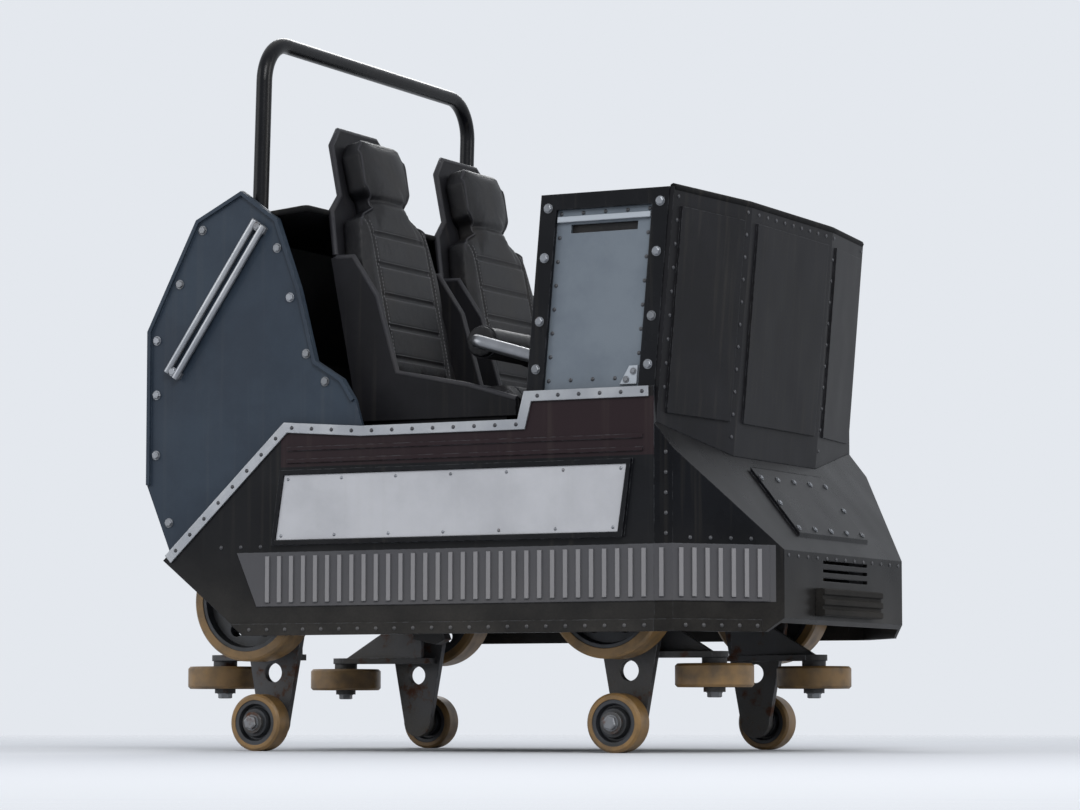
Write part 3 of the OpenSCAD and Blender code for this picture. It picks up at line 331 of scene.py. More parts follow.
def make_finishes():
    """Every finish of the car, kept by the name that pieces ask for."""
    c = bpy.context.scene.coaster_colours
    band = (((-0.60, PANEL_Y + 0.001, 0.374), (0.6405, 0.66, 0.516)), c.band)
    nose_band = (((0.639, 0.30, 0.3745), (0.87, 0.66, 0.5155)), c.band)
    # The ribs' faces are painted lighter than the band that they stand on: a painted highlight along the
    # ridges
    rib_y = PANEL_Y + 0.0055
    rib_highlight_zone = (((-0.60, rib_y, 0.38), (0.675, 0.66, 0.51)), c.rib_highlight)
    nose_rib_highlight_zone = (((0.69, rib_y, 0.38), (0.98, 0.66, 0.51), (0.69, PANEL_Y, 0.0), -TAPER), c.rib_highlight)
    strip = (((-0.43, PANEL_Y - 0.001, 0.735), (0.6405, PANEL_Y + 0.006, 0.88)), c.strip)
    # The lip over the slot and the corner bracket stand out from the cowl panel, and are painted lighter: a
    # painted highlight along the panel's top edge
    lip_highlight = (((0.0, COWL_Y + 0.003, 0.90), (1.0, 0.63, 1.36)), c.lip_highlight)
    primer = "5c5e62"
    FINISHES.update({
        # Sprayed gloss enamel on sheet steel: dark mirror-like panels with grey chips along the edges
        "enamel": coat("Gloss black enamel", c.body, "121316", 0.27, bare=primer, dust=0.28, clear=0.04,
                       gloss=0.12),
        # The same enamel on the nose, with its grey band and the painted highlight on its ribs
        "nose": coat("Nose enamel", c.body, "121316", 0.27, bare=primer, dust=0.28, gloss=0.06, buckle=0.2,
                     zones=[nose_band, rib_highlight_zone, nose_rib_highlight_zone]),
        # The same enamel on the side, with its grey band, the painted highlight on its ribs and the
        # brown-black strip
        "side": coat("Side panel enamel", c.body, "121316", 0.30, bare=primer, wear=0.55, dust=0.30,
                     clear=0.03, gloss=0.12, buckle=0.2, zones=[band, rib_highlight_zone, strip]),
        # Powder coat on rolled sheet: satin, with a fine orange peel
        "shell": coat("Satin charcoal powder coat", c.charcoal, "1c1c1f", 0.46, bare=primer, wear=0.4,
                      dust=0.25, grain=0.25, grain_size=0.0035, gloss=0.08, buckle=0.3),
        # Gelcoat on glass fibre, dulled by weather: no bare metal at its edges
        "wing": coat("Weathered blue-grey gelcoat", c.wing, "2b3540", 0.5, bare="4a545e", dust=0.22,
                     grain=0.2, grain_size=0.006, gloss=0.2, buckle=0.25),
        # Anodised sheet, brushed upright: broad soft highlights, and a painted highlight on its lips and
        # brackets
        "cowl": coat("Brushed grey anodised sheet", c.cowl, "666e76", 0.42, metal=0.2, bare="8f9398",
                     wear=0.7, dust=0.2, grain=0.18, grain_size=0.0015, stretch=(1, 1, 0.04), zones=[lip_highlight],
                     gloss=0.25),
        # Stove enamel on a flat sheet: pale and even, with streaks of dirt
        "board": coat("Pale stove enamel", c.board, "9fa0a4", 0.42, bare="6e6f72", wear=0.35, dust=0.3),
        # Drawn aluminium, scratched along its length
        "trim": coat("Drawn aluminium trim", c.trim, "a3a5a8", 0.36, metal=0.8, bare="c4c6c9", wear=0.6,
                     dust=0.45, grain=0.15, grain_size=0.002, stretch=(0.1, 1, 1)),
        # Forged and welded steel under oil and dust, with rust where the oil is gone
        "steel": coat("Oiled structural steel", c.steel, "303236", 0.50, metal=0.55, bare="8b8d90",
                      wear=0.7, dust=0.55, rust=0.45, grain=0.35, grain_size=0.005),
        # Satin nickel on bent tube, polished by hands: long soft highlights, dull spots and no rust
        "bar": coat("Satin nickel plate", "8b8d91", "6f7175", 0.30, metal=0.85, bare="b4b6b9", dust=0.2,
                    grain=0.12, grain_size=0.003),
        # Brushed chassis paint over rolled sections
        "chassis": coat("Chassis black", c.body, "25231f", 0.55, bare=primer, dust=0.6, rust=0.35,
                        grain=0.4, grain_size=0.007, gloss=0.25),
        # Steel plate that the brakes rub bright
        "fin": coat("Rubbed brake plate", "77797c", "8f9194", 0.33, metal=0.9, bare="a9abae", dust=0.3,
                    rust=0.3, grain=0.25, grain_size=0.0015, stretch=(0.05, 1, 1)),
        # Chromate-plated bolts, dulled: small bright points
        "zinc": coat("Zinc-plated fasteners", "82858a", "6b6d70", 0.38, metal=0.85, dust=0.35, rust=0.2,
                     edge=0.0008),
        # Blackened rivets in black sheet
        "rivet": coat("Painted rivets", "2a2b2f", "3c3d41", 0.36, bare=primer, wear=0.6, edge=0.001),
        # Ground-down weld metal under paint
        "weld": coat("Painted weld metal", "2b2c2f", "3b3835", 0.5, metal=0.3, dust=0.5, rust=0.5,
                     edge=0.001),
        # Moulded rubber: matt, with a grey bloom
        "rubber": coat("Moulded black rubber", "0e0e0f", "19191a", 0.72, dust=0.28, grain=0.4,
                       grain_size=0.003, gloss=0.08),
        # Gritted anti-slip tape: black with a sandy sparkle
        "grit": coat("Gritted anti-slip tape", "1d1d1e", "343434", 0.8, dust=0.5, grain=0.9,
                     grain_size=0.0012, edge=0.0005),
        # Rolled aluminium tread plate, dirty between its lugs
        "tread": coat("Aluminium tread plate", "6f7174", "55575a", 0.42, metal=0.7, bare="a5a7aa",
                      wear=0.8, dust=0.5, edge=0.001),
        "vinyl": vinyl("Grained black vinyl", c.vinyl),
        "piping": vinyl("Black vinyl piping", "232327"),
        # Bonded polyester thread: pale enough to read as stitches
        "thread": coat("Bonded thread", "77777a", "5d5d60", 0.7, dust=0.1, edge=0.0003),
        # The middle of the four wheels, how far each is from it, the wheel's plane, and its rim's radius
        "running": wheel_finish(
            "Running wheel urethane", (-0.065, 0, RUN_Z), (0.525, 0, 0), (1, 0, 1), 0.134),
        "guide": wheel_finish(
            "Guide wheel urethane", (-0.065, 0, 0.195), (0.725, GUIDE_Y, 0), (1, 1, 0), 0.080),
        "stop": wheel_finish(
            "Up-stop wheel urethane", (-0.065, 0, STOP_Z), (0.525, 0, 0), (1, 0, 1), 0.059),
    })


# Which solids take which finish, by the start of their names
NODE_FINISHES = (
    ("enamel", ("cowl_frame", "grab_hoop")),
    ("nose", ("nose_shell",)),
    ("side", ("side_panel",)),
    ("shell", ("floor_pan", "front_shield", "seat_base", "rear_shell", "seat_shell")),
    ("wing", ("wing_plate",)),
    ("cowl", ("cowl_panel",)),
    ("board", ("name_board",)),
    ("trim", ("sill_trim", "wing_brace")),
    ("bar", ("lap_bar_l", "lap_bar_r")),
    ("steel", ("rear_axle", "front_axle", "wheel_carrier", "lap_bar_brackets", "chain_dog", "rear_hitch")),
    ("chassis", ("chassis_frame",)),
    ("fin", ("brake_fins",)),
    ("rubber", ("front_bumper",)),
    ("vinyl", ("seat_pad", "back_pad", "lap_pad")),
    ("running", ("running_wheel",)),
    ("guide", ("guide_wheel",)),
    ("stop", ("up_stop_wheel",)),
)


# Meshes and pieces

def linked(name, data):
    """A new object in the scene."""
    item = bpy.data.objects.new(name, data)
    bpy.context.scene.collection.objects.link(item)
    return item


def place_piece(name, mesh, body, finish, smooth=False):
    """A finished mesh as a piece that rides on a body."""
    piece = linked(name, mesh)
    mesh.materials.clear()
    mesh.materials.append(FINISHES[finish])
    if smooth:
        mesh.shade_smooth()
    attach(piece, body)
    return piece


def evaluated_mesh(piece):
    """A copy of an object's shape as its modifiers leave it."""
    depsgraph = bpy.context.evaluated_depsgraph_get()
    return bpy.data.meshes.new_from_object(piece.evaluated_get(depsgraph), depsgraph=depsgraph)


def marks_mesh(rows):
    """Points that carry the direction that they face, from rows of (place, direction)."""
    mesh = bpy.data.meshes.new("marks")
    mesh.from_pydata([tuple(place) for place, out in rows], [], [])
    out = mesh.attributes.new("out", "FLOAT_VECTOR", "POINT")
    out.data.foreach_set("vector", [v for place, out in rows for v in Vector(out).normalized()])
    return mesh


def lines_mesh(paths):
    """Edges along each (points, closed) path."""
    points, edges = [], []
    for path, closed in paths:
        first = len(points)
        points += [tuple(p) for p in path]
        edges += [(i, i + 1) for i in range(first, len(points) - 1)]
        if closed:
            edges.append((len(points) - 1, first))
    mesh = bpy.data.meshes.new("lines")
    mesh.from_pydata(points, edges, [])
    return mesh


def patterned(name, mesh, tree, values, finish, body):
    """Runs a geometry tree over a mesh and keeps the result as a plain piece."""
    piece = linked(name, mesh)
    pattern = piece.modifiers.new("Pattern", "NODES")
    pattern.node_group = tree
    values = dict(values, Finish=FINISHES[finish])
    for item in tree.interface.items_tree:
        if item.in_out == "INPUT" and item.name in values:
            pattern[item.identifier] = values[item.name]
    result = evaluated_mesh(piece)
    if not result.polygons:
        raise RuntimeError(f"the pattern of {name} came out empty")
    piece.modifiers.clear()
    piece.data = result
    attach(piece, body)
    return piece


# Geometry trees

def open_tree(name, sizes):
    """A geometry tree with a named input for each size, and for its finish."""
    tree = bpy.data.node_groups.new(name, "GeometryNodeTree")
    tree.interface.new_socket("Geometry", in_out="INPUT", socket_type="NodeSocketGeometry")
    for label, value in sizes:
        socket = tree.interface.new_socket(label, in_out="INPUT", socket_type="NodeSocketFloat")
        socket.default_value = value
    tree.interface.new_socket("Finish", in_out="INPUT", socket_type="NodeSocketMaterial")
    tree.interface.new_socket("Geometry", in_out="OUTPUT", socket_type="NodeSocketGeometry")
    return tree, add(tree, "NodeGroupInput").node.outputs


def close_tree(tree, geometry, finish):
    """Ends a tree in plain geometry that carries its finish."""
    real = add(tree, "GeometryNodeRealizeInstances", {0: geometry})
    done = add(tree, "GeometryNodeSetMaterial", {"Geometry": real, "Material": finish})
    add(tree, "NodeGroupOutput", {0: done})
    return tree


def spread_tree(tree, points, form, aim, finish):
    """Closes a tree that sets one form on each point."""
    spread = add(tree, "GeometryNodeInstanceOnPoints", {"Points": points, "Instance": form, "Rotation": aim})
    return close_tree(tree, spread, finish)


def pebble(tree, segments, rings, radius, scale):
    """A smooth ball, drawn out or flattened along its axes."""
    form = add(tree, "GeometryNodeMeshUVSphere", {"Segments": segments, "Rings": rings, "Radius": radius})
    form = add(tree, "GeometryNodeTransform", {"Geometry": form, "Scale": scale})
    return add(tree, "GeometryNodeSetShadeSmooth", {"Geometry": form})


def bolt_tree():
    """A hexagon head with a chamfer on a washer, at each mark, turned about its axis at random."""
    tree, given = open_tree("Hexagon bolts", (("Radius", 0.01), ("Height", 0.0065), ("Washer", 0.0125)))
    radius, height = given["Radius"], given["Height"]
    half = add(tree, "ShaderNodeMath", {0: height, 1: 0.5}, operation="MULTIPLY")
    lift = add(tree, "ShaderNodeCombineXYZ", {2: half})
    top = add(tree, "ShaderNodeCombineXYZ", {2: height})
    head = add(tree, "GeometryNodeMeshCylinder", {"Vertices": 6, "Radius": radius, "Depth": height})
    head = add(tree, "GeometryNodeTransform", {"Geometry": head, "Translation": lift})
    narrow = add(tree, "ShaderNodeMath", {0: radius, 1: 0.8}, operation="MULTIPLY")
    slope = add(tree, "ShaderNodeMath", {0: height, 1: 0.15}, operation="MULTIPLY")
    cap = add(tree, "GeometryNodeMeshCone", {
        "Vertices": 6, "Radius Top": narrow, "Radius Bottom": radius, "Depth": slope})
    cap = add(tree, "GeometryNodeTransform", {"Geometry": cap, "Translation": top})
    ring = add(tree, "GeometryNodeMeshCylinder", {"Vertices": 16, "Radius": given["Washer"], "Depth": 0.004})
    bolt = add(tree, "GeometryNodeJoinGeometry")
    for part in (head, cap, ring):
        tree.links.new(part, bolt.node.inputs[0])
    out = add(tree, "GeometryNodeInputNamedAttribute", {"Name": "out"}, data_type="FLOAT_VECTOR")
    roll = add(tree, "FunctionNodeRandomValue", {2: 0.0, 3: math.tau, "Seed": 7}, 1, data_type="FLOAT")
    turn = add(tree, "FunctionNodeAxisAngleToRotation", {"Axis": (0, 0, 1), "Angle": roll})
    aim = add(tree, "FunctionNodeAlignRotationToVector", {"Rotation": turn, "Vector": out}, axis="Z")
    return spread_tree(tree, given["Geometry"], bolt, aim, given["Finish"])


def rivet_tree():
    """A dome rivet at each mark."""
    tree, given = open_tree("Dome rivets", (("Radius", 0.005), ("Height", 0.0025)))
    flat = add(tree, "ShaderNodeMath", {0: given["Height"], 1: given["Radius"]}, operation="DIVIDE")
    scale = add(tree, "ShaderNodeCombineXYZ", {0: 1.0, 1: 1.0, 2: flat})
    dome = pebble(tree, 10, 6, given["Radius"], scale)
    out = add(tree, "GeometryNodeInputNamedAttribute", {"Name": "out"}, data_type="FLOAT_VECTOR")
    aim = add(tree, "FunctionNodeAlignRotationToVector", {"Vector": out}, axis="Z")
    return spread_tree(tree, given["Geometry"], dome, aim, given["Finish"])


def bead_tree():
    """A rippled bead along each line."""
    tree, given = open_tree("Weld beads", (("Radius", 0.0045), ("Pitch", 0.006)))
    step = add(tree, "ShaderNodeMath", {0: given["Pitch"], 1: 0.25}, operation="MULTIPLY")
    line = add(tree, "GeometryNodeMeshToCurve", {"Mesh": given["Geometry"]})
    line = add(tree, "GeometryNodeResampleCurve", {"Curve": line, "Length": step}, mode="LENGTH")
    far = add(tree, "GeometryNodeSplineParameter", output="Length")
    turns = add(tree, "ShaderNodeMath", {0: far, 1: given["Pitch"]}, operation="DIVIDE")
    turns = add(tree, "ShaderNodeMath", {0: turns, 1: math.tau}, operation="MULTIPLY")
    wave = add(tree, "ShaderNodeMath", {0: turns}, operation="SINE")
    wave = add(tree, "ShaderNodeMath", {0: wave, 1: 0.16, 2: 1.0}, operation="MULTIPLY_ADD")
    ring = add(tree, "GeometryNodeCurvePrimitiveCircle", {"Resolution": 8, "Radius": given["Radius"]})
    bead = add(tree, "GeometryNodeCurveToMesh", {
        "Curve": line, "Profile Curve": ring, "Scale": wave, "Fill Caps": True})
    bead = add(tree, "GeometryNodeSetShadeSmooth", {"Geometry": bead})
    return close_tree(tree, bead, given["Finish"])


def stitch_tree():
    """Short rounded stitches end to end along each line."""
    tree, given = open_tree("Stitches", (("Length", 0.007), ("Gap", 0.010), ("Thickness", 0.0016)))
    line = add(tree, "GeometryNodeMeshToCurve", {"Mesh": given["Geometry"]})
    line = add(tree, "GeometryNodeResampleCurve", {"Curve": line, "Length": given["Gap"]}, mode="LENGTH")
    thick = given["Thickness"]
    scale = add(tree, "ShaderNodeCombineXYZ", {0: given["Length"], 1: thick, 2: thick})
    thread = pebble(tree, 6, 5, 0.5, scale)
    way = add(tree, "GeometryNodeInputTangent")
    aim = add(tree, "FunctionNodeAlignRotationToVector", {"Vector": way}, axis="X")
    return spread_tree(tree, line, thread, aim, given["Finish"])


def lug_tree():
    """Raised lens-shaped lugs, each turned across its neighbours."""
    tree, given = open_tree("Tread lugs", (("Length", 0.024), ("Width", 0.007), ("Height", 0.003)))
    scale = add(tree, "ShaderNodeCombineXYZ", {0: given["Length"], 1: given["Width"], 2: given["Height"]})
    lug = pebble(tree, 8, 4, 0.5, scale)
    out = add(tree, "GeometryNodeInputNamedAttribute", {"Name": "out"}, data_type="FLOAT_VECTOR")
    aim = add(tree, "FunctionNodeAlignRotationToVector", {"Vector": out}, axis="X")
    return spread_tree(tree, given["Geometry"], lug, aim, given["Finish"])


# Padding

def prism(outline, pull):
    """A closed solid: a flat outline pulled along a vector."""
    mesh = bpy.data.meshes.new("form")
    form = bmesh.new()
    face = form.faces.new([form.verts.new(p) for p in outline])
    grown = bmesh.ops.extrude_face_region(form, geom=[face])["geom"]
    bmesh.ops.translate(form, verts=[v for v in grown if isinstance(v, bmesh.types.BMVert)], vec=pull)
    bmesh.ops.recalc_face_normals(form, faces=form.faces)
    form.to_mesh(mesh)
    form.free()
    return mesh


def swollen(mesh, voxel, cap):
    """A padded form: remeshed evenly, blown up as cloth, and no point moved further than `cap`."""
    scene = bpy.context.scene
    last_frame = 20
    pad = linked("pad_form", mesh)
    even = pad.modifiers.new("Even", "REMESH")
    even.mode, even.voxel_size = "VOXEL", voxel
    softened = pad.modifiers.new("Soften", "SMOOTH")
    softened.factor, softened.iterations = 0.5, 6
    pad.data = evaluated_mesh(pad)
    pad.modifiers.clear()
    rest = [v.co.copy() for v in pad.data.vertices]
    cloth = pad.modifiers.new("Cloth", "CLOTH")
    cloth.settings.quality = 4
    cloth.settings.use_pressure = True
    cloth.settings.uniform_pressure_force = 4.0
    cloth.settings.effector_weights.gravity = 0
    cloth.collision_settings.use_collision = False
    cloth.point_cache.frame_start, cloth.point_cache.frame_end = 1, last_frame
    for step in range(1, last_frame + 1):
        scene.frame_set(step)
    blown = evaluated_mesh(pad)
    pad.modifiers.clear()
    for vertex, start, end in zip(pad.data.vertices, rest, blown.vertices):
        way = end.co - start
        vertex.co = start + way * min(1.0, cap / max(way.length, 1e-9))
    scene.frame_set(1)
    finer = pad.modifiers.new("Finer", "SUBSURF")
    finer.levels = finer.render_levels = 1
    done = evaluated_mesh(pad)
    bpy.data.objects.remove(pad)
    return done


def groove(distance, width, depth):
    """How deep a rounded groove is at a distance from its middle."""
    return depth * math.exp(-(distance / width) ** 2)


def sewn_depth(p, channels):
    """How far the bolsters' seams, and the channels across the pad between them, are drawn in."""
    depth = groove(abs(p.y) - BOLSTER, 0.007, 0.007)
    if abs(p.y) < BOLSTER:
        depth = max(depth, *(groove(p.x - x, 0.007, 0.006) for x in channels))
    return depth


def dent(mesh, seams, floor):
    """Presses sewn channels into the top, and keeps the underside flat. `seams` gives the depth at a
    point, and the pad's own z axis is up."""
    for vertex, normal in zip(mesh.vertices, [v.normal.copy() for v in mesh.vertices]):
        if normal.z > 0.1:
            vertex.co.z -= seams(vertex.co) * min(1.0, normal.z * 1.6)
        vertex.co.z = max(vertex.co.z, floor)
    mesh.update()


def draped(mesh, paths, lift):
    """Lays flat paths of (u, v) on the top of a pad."""
    top = BVHTree.FromPolygons([v.co for v in mesh.vertices], [tuple(p.vertices) for p in mesh.polygons])
    laid = []
    for path, closed in paths:
        hits = [top.ray_cast(Vector((u, v, 1.0)), Vector((0, 0, -1)))[0] for u, v in path]
        laid.append(([hit + Vector((0, 0, lift)) for hit in hits if hit], closed))
    return laid


def divided(path, closed=False):
    """Points along a flat path, no further apart than a step."""
    points = []
    for a, b in zip(path, path[1:] + path[:1] if closed else path[1:]):
        count = max(1, math.ceil(math.dist(a, b) / STEP))
        points += [(a[0] + (b[0] - a[0]) * i / count, a[1] + (b[1] - a[1]) * i / count) for i in range(count)]
    return points if closed else points + [path[-1]]


def stitch_lines(low, high, channels):
    """Lines of stitches beside the bolsters' seams, from low to high, and beside each channel."""
    lines = []
    for k in (-1, 1):
        seams = [[(u, k * (BOLSTER + off)) for u in (low, high)] for off in (-STITCH_OFF, STITCH_OFF)]
        across = [[(x + k * STITCH_OFF, v) for v in (0.01 - BOLSTER, BOLSTER - 0.01)] for x in channels]
        lines += [(divided(line), False) for line in seams + across]
    return lines


def circle(count, radius):
    """Flat points round a circle."""
    turns = [a * math.tau / count for a in range(count)]
    return [(math.cos(turn) * radius, math.sin(turn) * radius) for turn in turns]


def tube(paths, radius):
    """A round cord along each (points, closed) path, as one mesh."""
    curve = bpy.data.curves.new("piping", "CURVE")
    curve.dimensions, curve.bevel_depth, curve.bevel_resolution = "3D", radius, 2
    curve.use_fill_caps = True
    for points, closed in paths:
        spline = curve.splines.new("POLY")
        spline.points.add(len(points) - 1)
        for slot, point in zip(spline.points, points):
            slot.co = (*point, 1.0)
        spline.use_cyclic_u = closed
    holder = linked("piping", curve)
    mesh = evaluated_mesh(holder)
    bpy.data.objects.remove(holder)
    return mesh


def sewn_pad(name, tag, body, place, parts, node):
    """Sets a cushion, its piping and its stitches on one seat, in the stead of a solid."""
    sizes = bpy.context.scene.coaster_sizes
    cover, piping, threads = [part.copy() for part in parts]
    for part in (cover, piping, threads):
        part.transform(place)
    cushion = place_piece(f"{name}_{tag}", cover, body, "vinyl", smooth=True)
    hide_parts(f"{node}_{tag}")
    place_piece(f"{name}_piping_{tag}", piping, body, "piping", smooth=True)
    patterned(f"{name}_stitches_{tag}", threads, stitch_tree(),
              {"Length": sizes.stitch_length, "Gap": sizes.stitch_gap}, "thread", body)


def pad_set(name, form, place, seams, floor, rim, lines, node, cap):
    """One kind of pad on both seats. It is made flat, and `place` turns it to stand on a seat."""
    sizes = bpy.context.scene.coaster_sizes
    cover = swollen(form, sizes.voxel, cap)
    dent(cover, seams, floor)
    piping = tube(draped(cover, [(divided(rim, closed=True), True)], -0.0005), sizes.piping_radius)
    threads = lines_mesh(draped(cover, lines, 0.0002))
    for tag, side in SIDES:
        seat = Matrix.Translation((0, side * SEAT_Y, 0))
        sewn_pad(name, tag, "root", seat @ place, (cover, piping, threads), node)


# Rows of fasteners

def both_sides(rows):
    """Marks on the car's left, each with its place and direction, and their mirror images."""
    return [((x, side * y, z), (a, side * b, c)) for tag, side in SIDES for (x, y, z), (a, b, c) in rows]


def along(points, pitch, inset=0.0):
    """Places spaced evenly along a line of points, from `inset` in at both ends."""
    points = [Vector(p) for p in points]
    lengths = [(b - a).length for a, b in zip(points, points[1:])]
    total = sum(lengths)
    count = max(1, round((total - 2 * inset) / pitch))
    for i in range(count + 1):
        far = inset + (total - 2 * inset) * i / count
        for a, b, length in zip(points, points[1:], lengths):
            if far <= length + 1e-9:
                yield a.lerp(b, far / length)
                break
            far -= length


def around(corners, pitch):
    """Places spaced evenly round an upright outline of (x, z)."""
    for a, b in zip(corners, corners[1:] + corners[:1]):
        yield from list(along(((a[0], 0, a[1]), (b[0], 0, b[1])), pitch))[:-1]


def leaned(x, z):
    """A point of the leaning cowl, from its place at the belt."""
    return x + (z - BELT_Z) * math.tan(RAKE), z


def cowl_corners(back, front, low, high):
    """Corners of a leaning panel, from its ends at the belt and its heights."""
    return [leaned(x, z) for x, z in ((back, low), (front, low), (front, high), (back, high))]


def hood_height(x):
    """Height of the sloping hood, which starts at the top of the blunt face of the nose."""
    return 0.505 + (0.885 - x) * SLOPE


def set_bolts(name, rows, body="root", given=None):
    """Bolts of the panel's own sizes, or with a given radius, height and washer."""
    sizes = bpy.context.scene.coaster_sizes
    radius, height, washer = given or (sizes.bolt_radius, sizes.bolt_height, sizes.washer_radius)
    patterned(name, marks_mesh(rows), bolt_tree(), {"Radius": radius, "Height": height, "Washer": washer},
              "zinc", body)


# The studio

def make_floor():
    """Painted studio floor: matt and even, so that only the shadow shows on it. It is gone into the
    backdrop further out, so that no horizon is seen, and clear from underneath."""
    reach = 60.0
    corners = ((-reach, -reach), (reach, -reach), (reach, reach), (-reach, reach))
    mesh = bpy.data.meshes.new("studio_floor")
    mesh.from_pydata([(x, y, 0) for x, y in corners], [], [(0, 1, 2, 3)])
    floor = linked("studio_floor", mesh)
    material, tree = new_material("Matt studio paint")
    place = add(tree, "ShaderNodeTexCoord", output="Object")
    far = add(tree, "ShaderNodeVectorMath", {0: place}, 1, operation="LENGTH")
    far = add(tree, "ShaderNodeMapRange", {0: far, 1: 2.2, 2: 8.0}, interpolation_type="SMOOTHSTEP")
    under = add(tree, "ShaderNodeNewGeometry", output="Backfacing")
    far = add(tree, "ShaderNodeMath", {0: far, 1: under}, operation="MAXIMUM")
    colour = rgba(bpy.context.scene.coaster_colours.floor)
    paint = add(tree, "ShaderNodeBsdfPrincipled", {
        "Base Color": colour, "Roughness": 0.9, "Specular IOR Level": 0.1})
    clear = add(tree, "ShaderNodeBsdfTransparent")
    mixed = add(tree, "ShaderNodeMixShader", {0: far, 1: paint, 2: clear})
    add(tree, "ShaderNodeOutputMaterial", {"Surface": mixed})
    mesh.materials.append(material)


def make_world():
    """One pale colour behind the car, and softer light on it."""
    world = bpy.data.worlds.new("Studio")
    bpy.context.scene.world = world
    world.use_nodes = True
    tree = world.node_tree
    tree.nodes.clear()
    path = add(tree, "ShaderNodeLightPath").node.outputs
    seen = path["Is Camera Ray"]
    for ray in ("Is Glossy Ray", "Is Transmission Ray"):
        seen = add(tree, "ShaderNodeMath", {0: seen, 1: path[ray]}, operation="MAXIMUM")
    # The room is brighter overhead, so level faces read lighter than upright ones
    sky = add(tree, "ShaderNodeTexCoord", output="Generated")
    sky = add(tree, "ShaderNodeSeparateXYZ", {0: sky}, 2)
    sky = add(tree, "ShaderNodeMapRange", {0: sky, 1: -0.05, 2: 0.75, 3: 0.22, 4: 0.95},
              interpolation_type="SMOOTHSTEP")
    soft = add(tree, "ShaderNodeBackground", {"Color": rgba("e6eaf0"), "Strength": sky})
    back = add(tree, "ShaderNodeBackground", {"Color": rgba("e4e8ee"), "Strength": 1.0})
    mixed = add(tree, "ShaderNodeMixShader", {0: seen, 1: soft, 2: back})
    add(tree, "ShaderNodeOutputWorld", {"Surface": mixed})


def aimed(name, data, spot, target):
    """A lamp or camera at a spot, turned to look at its target."""
    holder = linked(name, data)
    holder.location = spot
    holder.rotation_euler = (target - Vector(spot)).to_track_quat("-Z", "Y").to_euler()
    return holder


# Operators

class DressPiece:
    bl_options = {"REGISTER", "UNDO"}


class COASTER_OT_finishes(DressPiece, bpy.types.Operator):
    """Make every finish and give each solid its own"""
    bl_idname = "coaster.finishes"
    bl_label = "Finishes"

    def execute(self, context):
        make_finishes()
        for finish, starts in NODE_FINISHES:
            for name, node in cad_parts.items():
                if name.startswith(starts):
                    for slot in node.material_slots:
                        slot.material = FINISHES[finish]
        return {"FINISHED"}


class COASTER_OT_seat_cushions(DressPiece, bpy.types.Operator):
    """Blow up the two seat cushions and sew their channels"""
    bl_idname = "coaster.seat_cushions"
    bl_label = "Seat cushions"

    def execute(self, context):
        low, high, side = -0.180, 0.190, 0.214
        top, bottom = 0.056, 0.001
        profile = ((low, bottom), (high, bottom), (high + 0.003, 0.034), (high - 0.018, top),
                   (low, top - 0.008))
        form = prism([(x, -side, z) for x, z in profile], (0, 2 * side, 0))
        channels = (-0.11, -0.035, 0.04, 0.115)
        inset = 0.012
        rim = [(low + inset, side - inset), (high - inset, side - inset),
               (high - inset, inset - side), (low + inset, inset - side)]
        pad_set("seat_cushion", form, Matrix.Translation((0, 0, HINGE.z)), lambda p: sewn_depth(p, channels),
                0.0004, rim, stitch_lines(low + 0.02, high - 0.02, channels), "seat_pad", 0.016)
        return {"FINISHED"}


class COASTER_OT_back_cushions(DressPiece, bpy.types.Operator):
    """Blow up the two back cushions and sew their channels"""
    bl_idname = "coaster.back_cushions"
    bl_label = "Back cushions"

    def execute(self, context):
        # The outline and the piping's line on the left half, as (up the back, sideways)
        half = [(0.076, 0.215), (0.415, 0.215), (0.533, 0.19), (0.572, 0.106), (0.603, 0.106),
                (0.628, 0.130), (0.730, 0.130), (0.772, 0.092)]
        rim = [(0.088, 0.203), (0.41, 0.203), (0.525, 0.18), (0.568, 0.094), (0.60, 0.094),
               (0.632, 0.118), (0.726, 0.118), (0.762, 0.084)]
        outline = half + [(u, -v) for u, v in reversed(half)]
        rim += [(u, -v) for u, v in reversed(rim)]
        form = prism([(u, v, 0.001) for u, v in outline], (0, 0, 0.058))
        channels = (0.15, 0.235, 0.32, 0.405, 0.49)

        def seams(p):
            neck = groove(p.x - 0.59, 0.010, 0.010)
            return max(neck, sewn_depth(p, channels)) if p.x < 0.56 else neck

        back = Matrix(((-math.sin(RECLINE), 0, math.cos(RECLINE), HINGE.x), (0, -1, 0, 0),
                       (math.cos(RECLINE), 0, math.sin(RECLINE), HINGE.z), (0, 0, 0, 1)))
        pad_set("back_cushion", form, back, seams, 0.0006, rim, stitch_lines(0.10, 0.525, channels),
                "back_pad", 0.014)
        return {"FINISHED"}


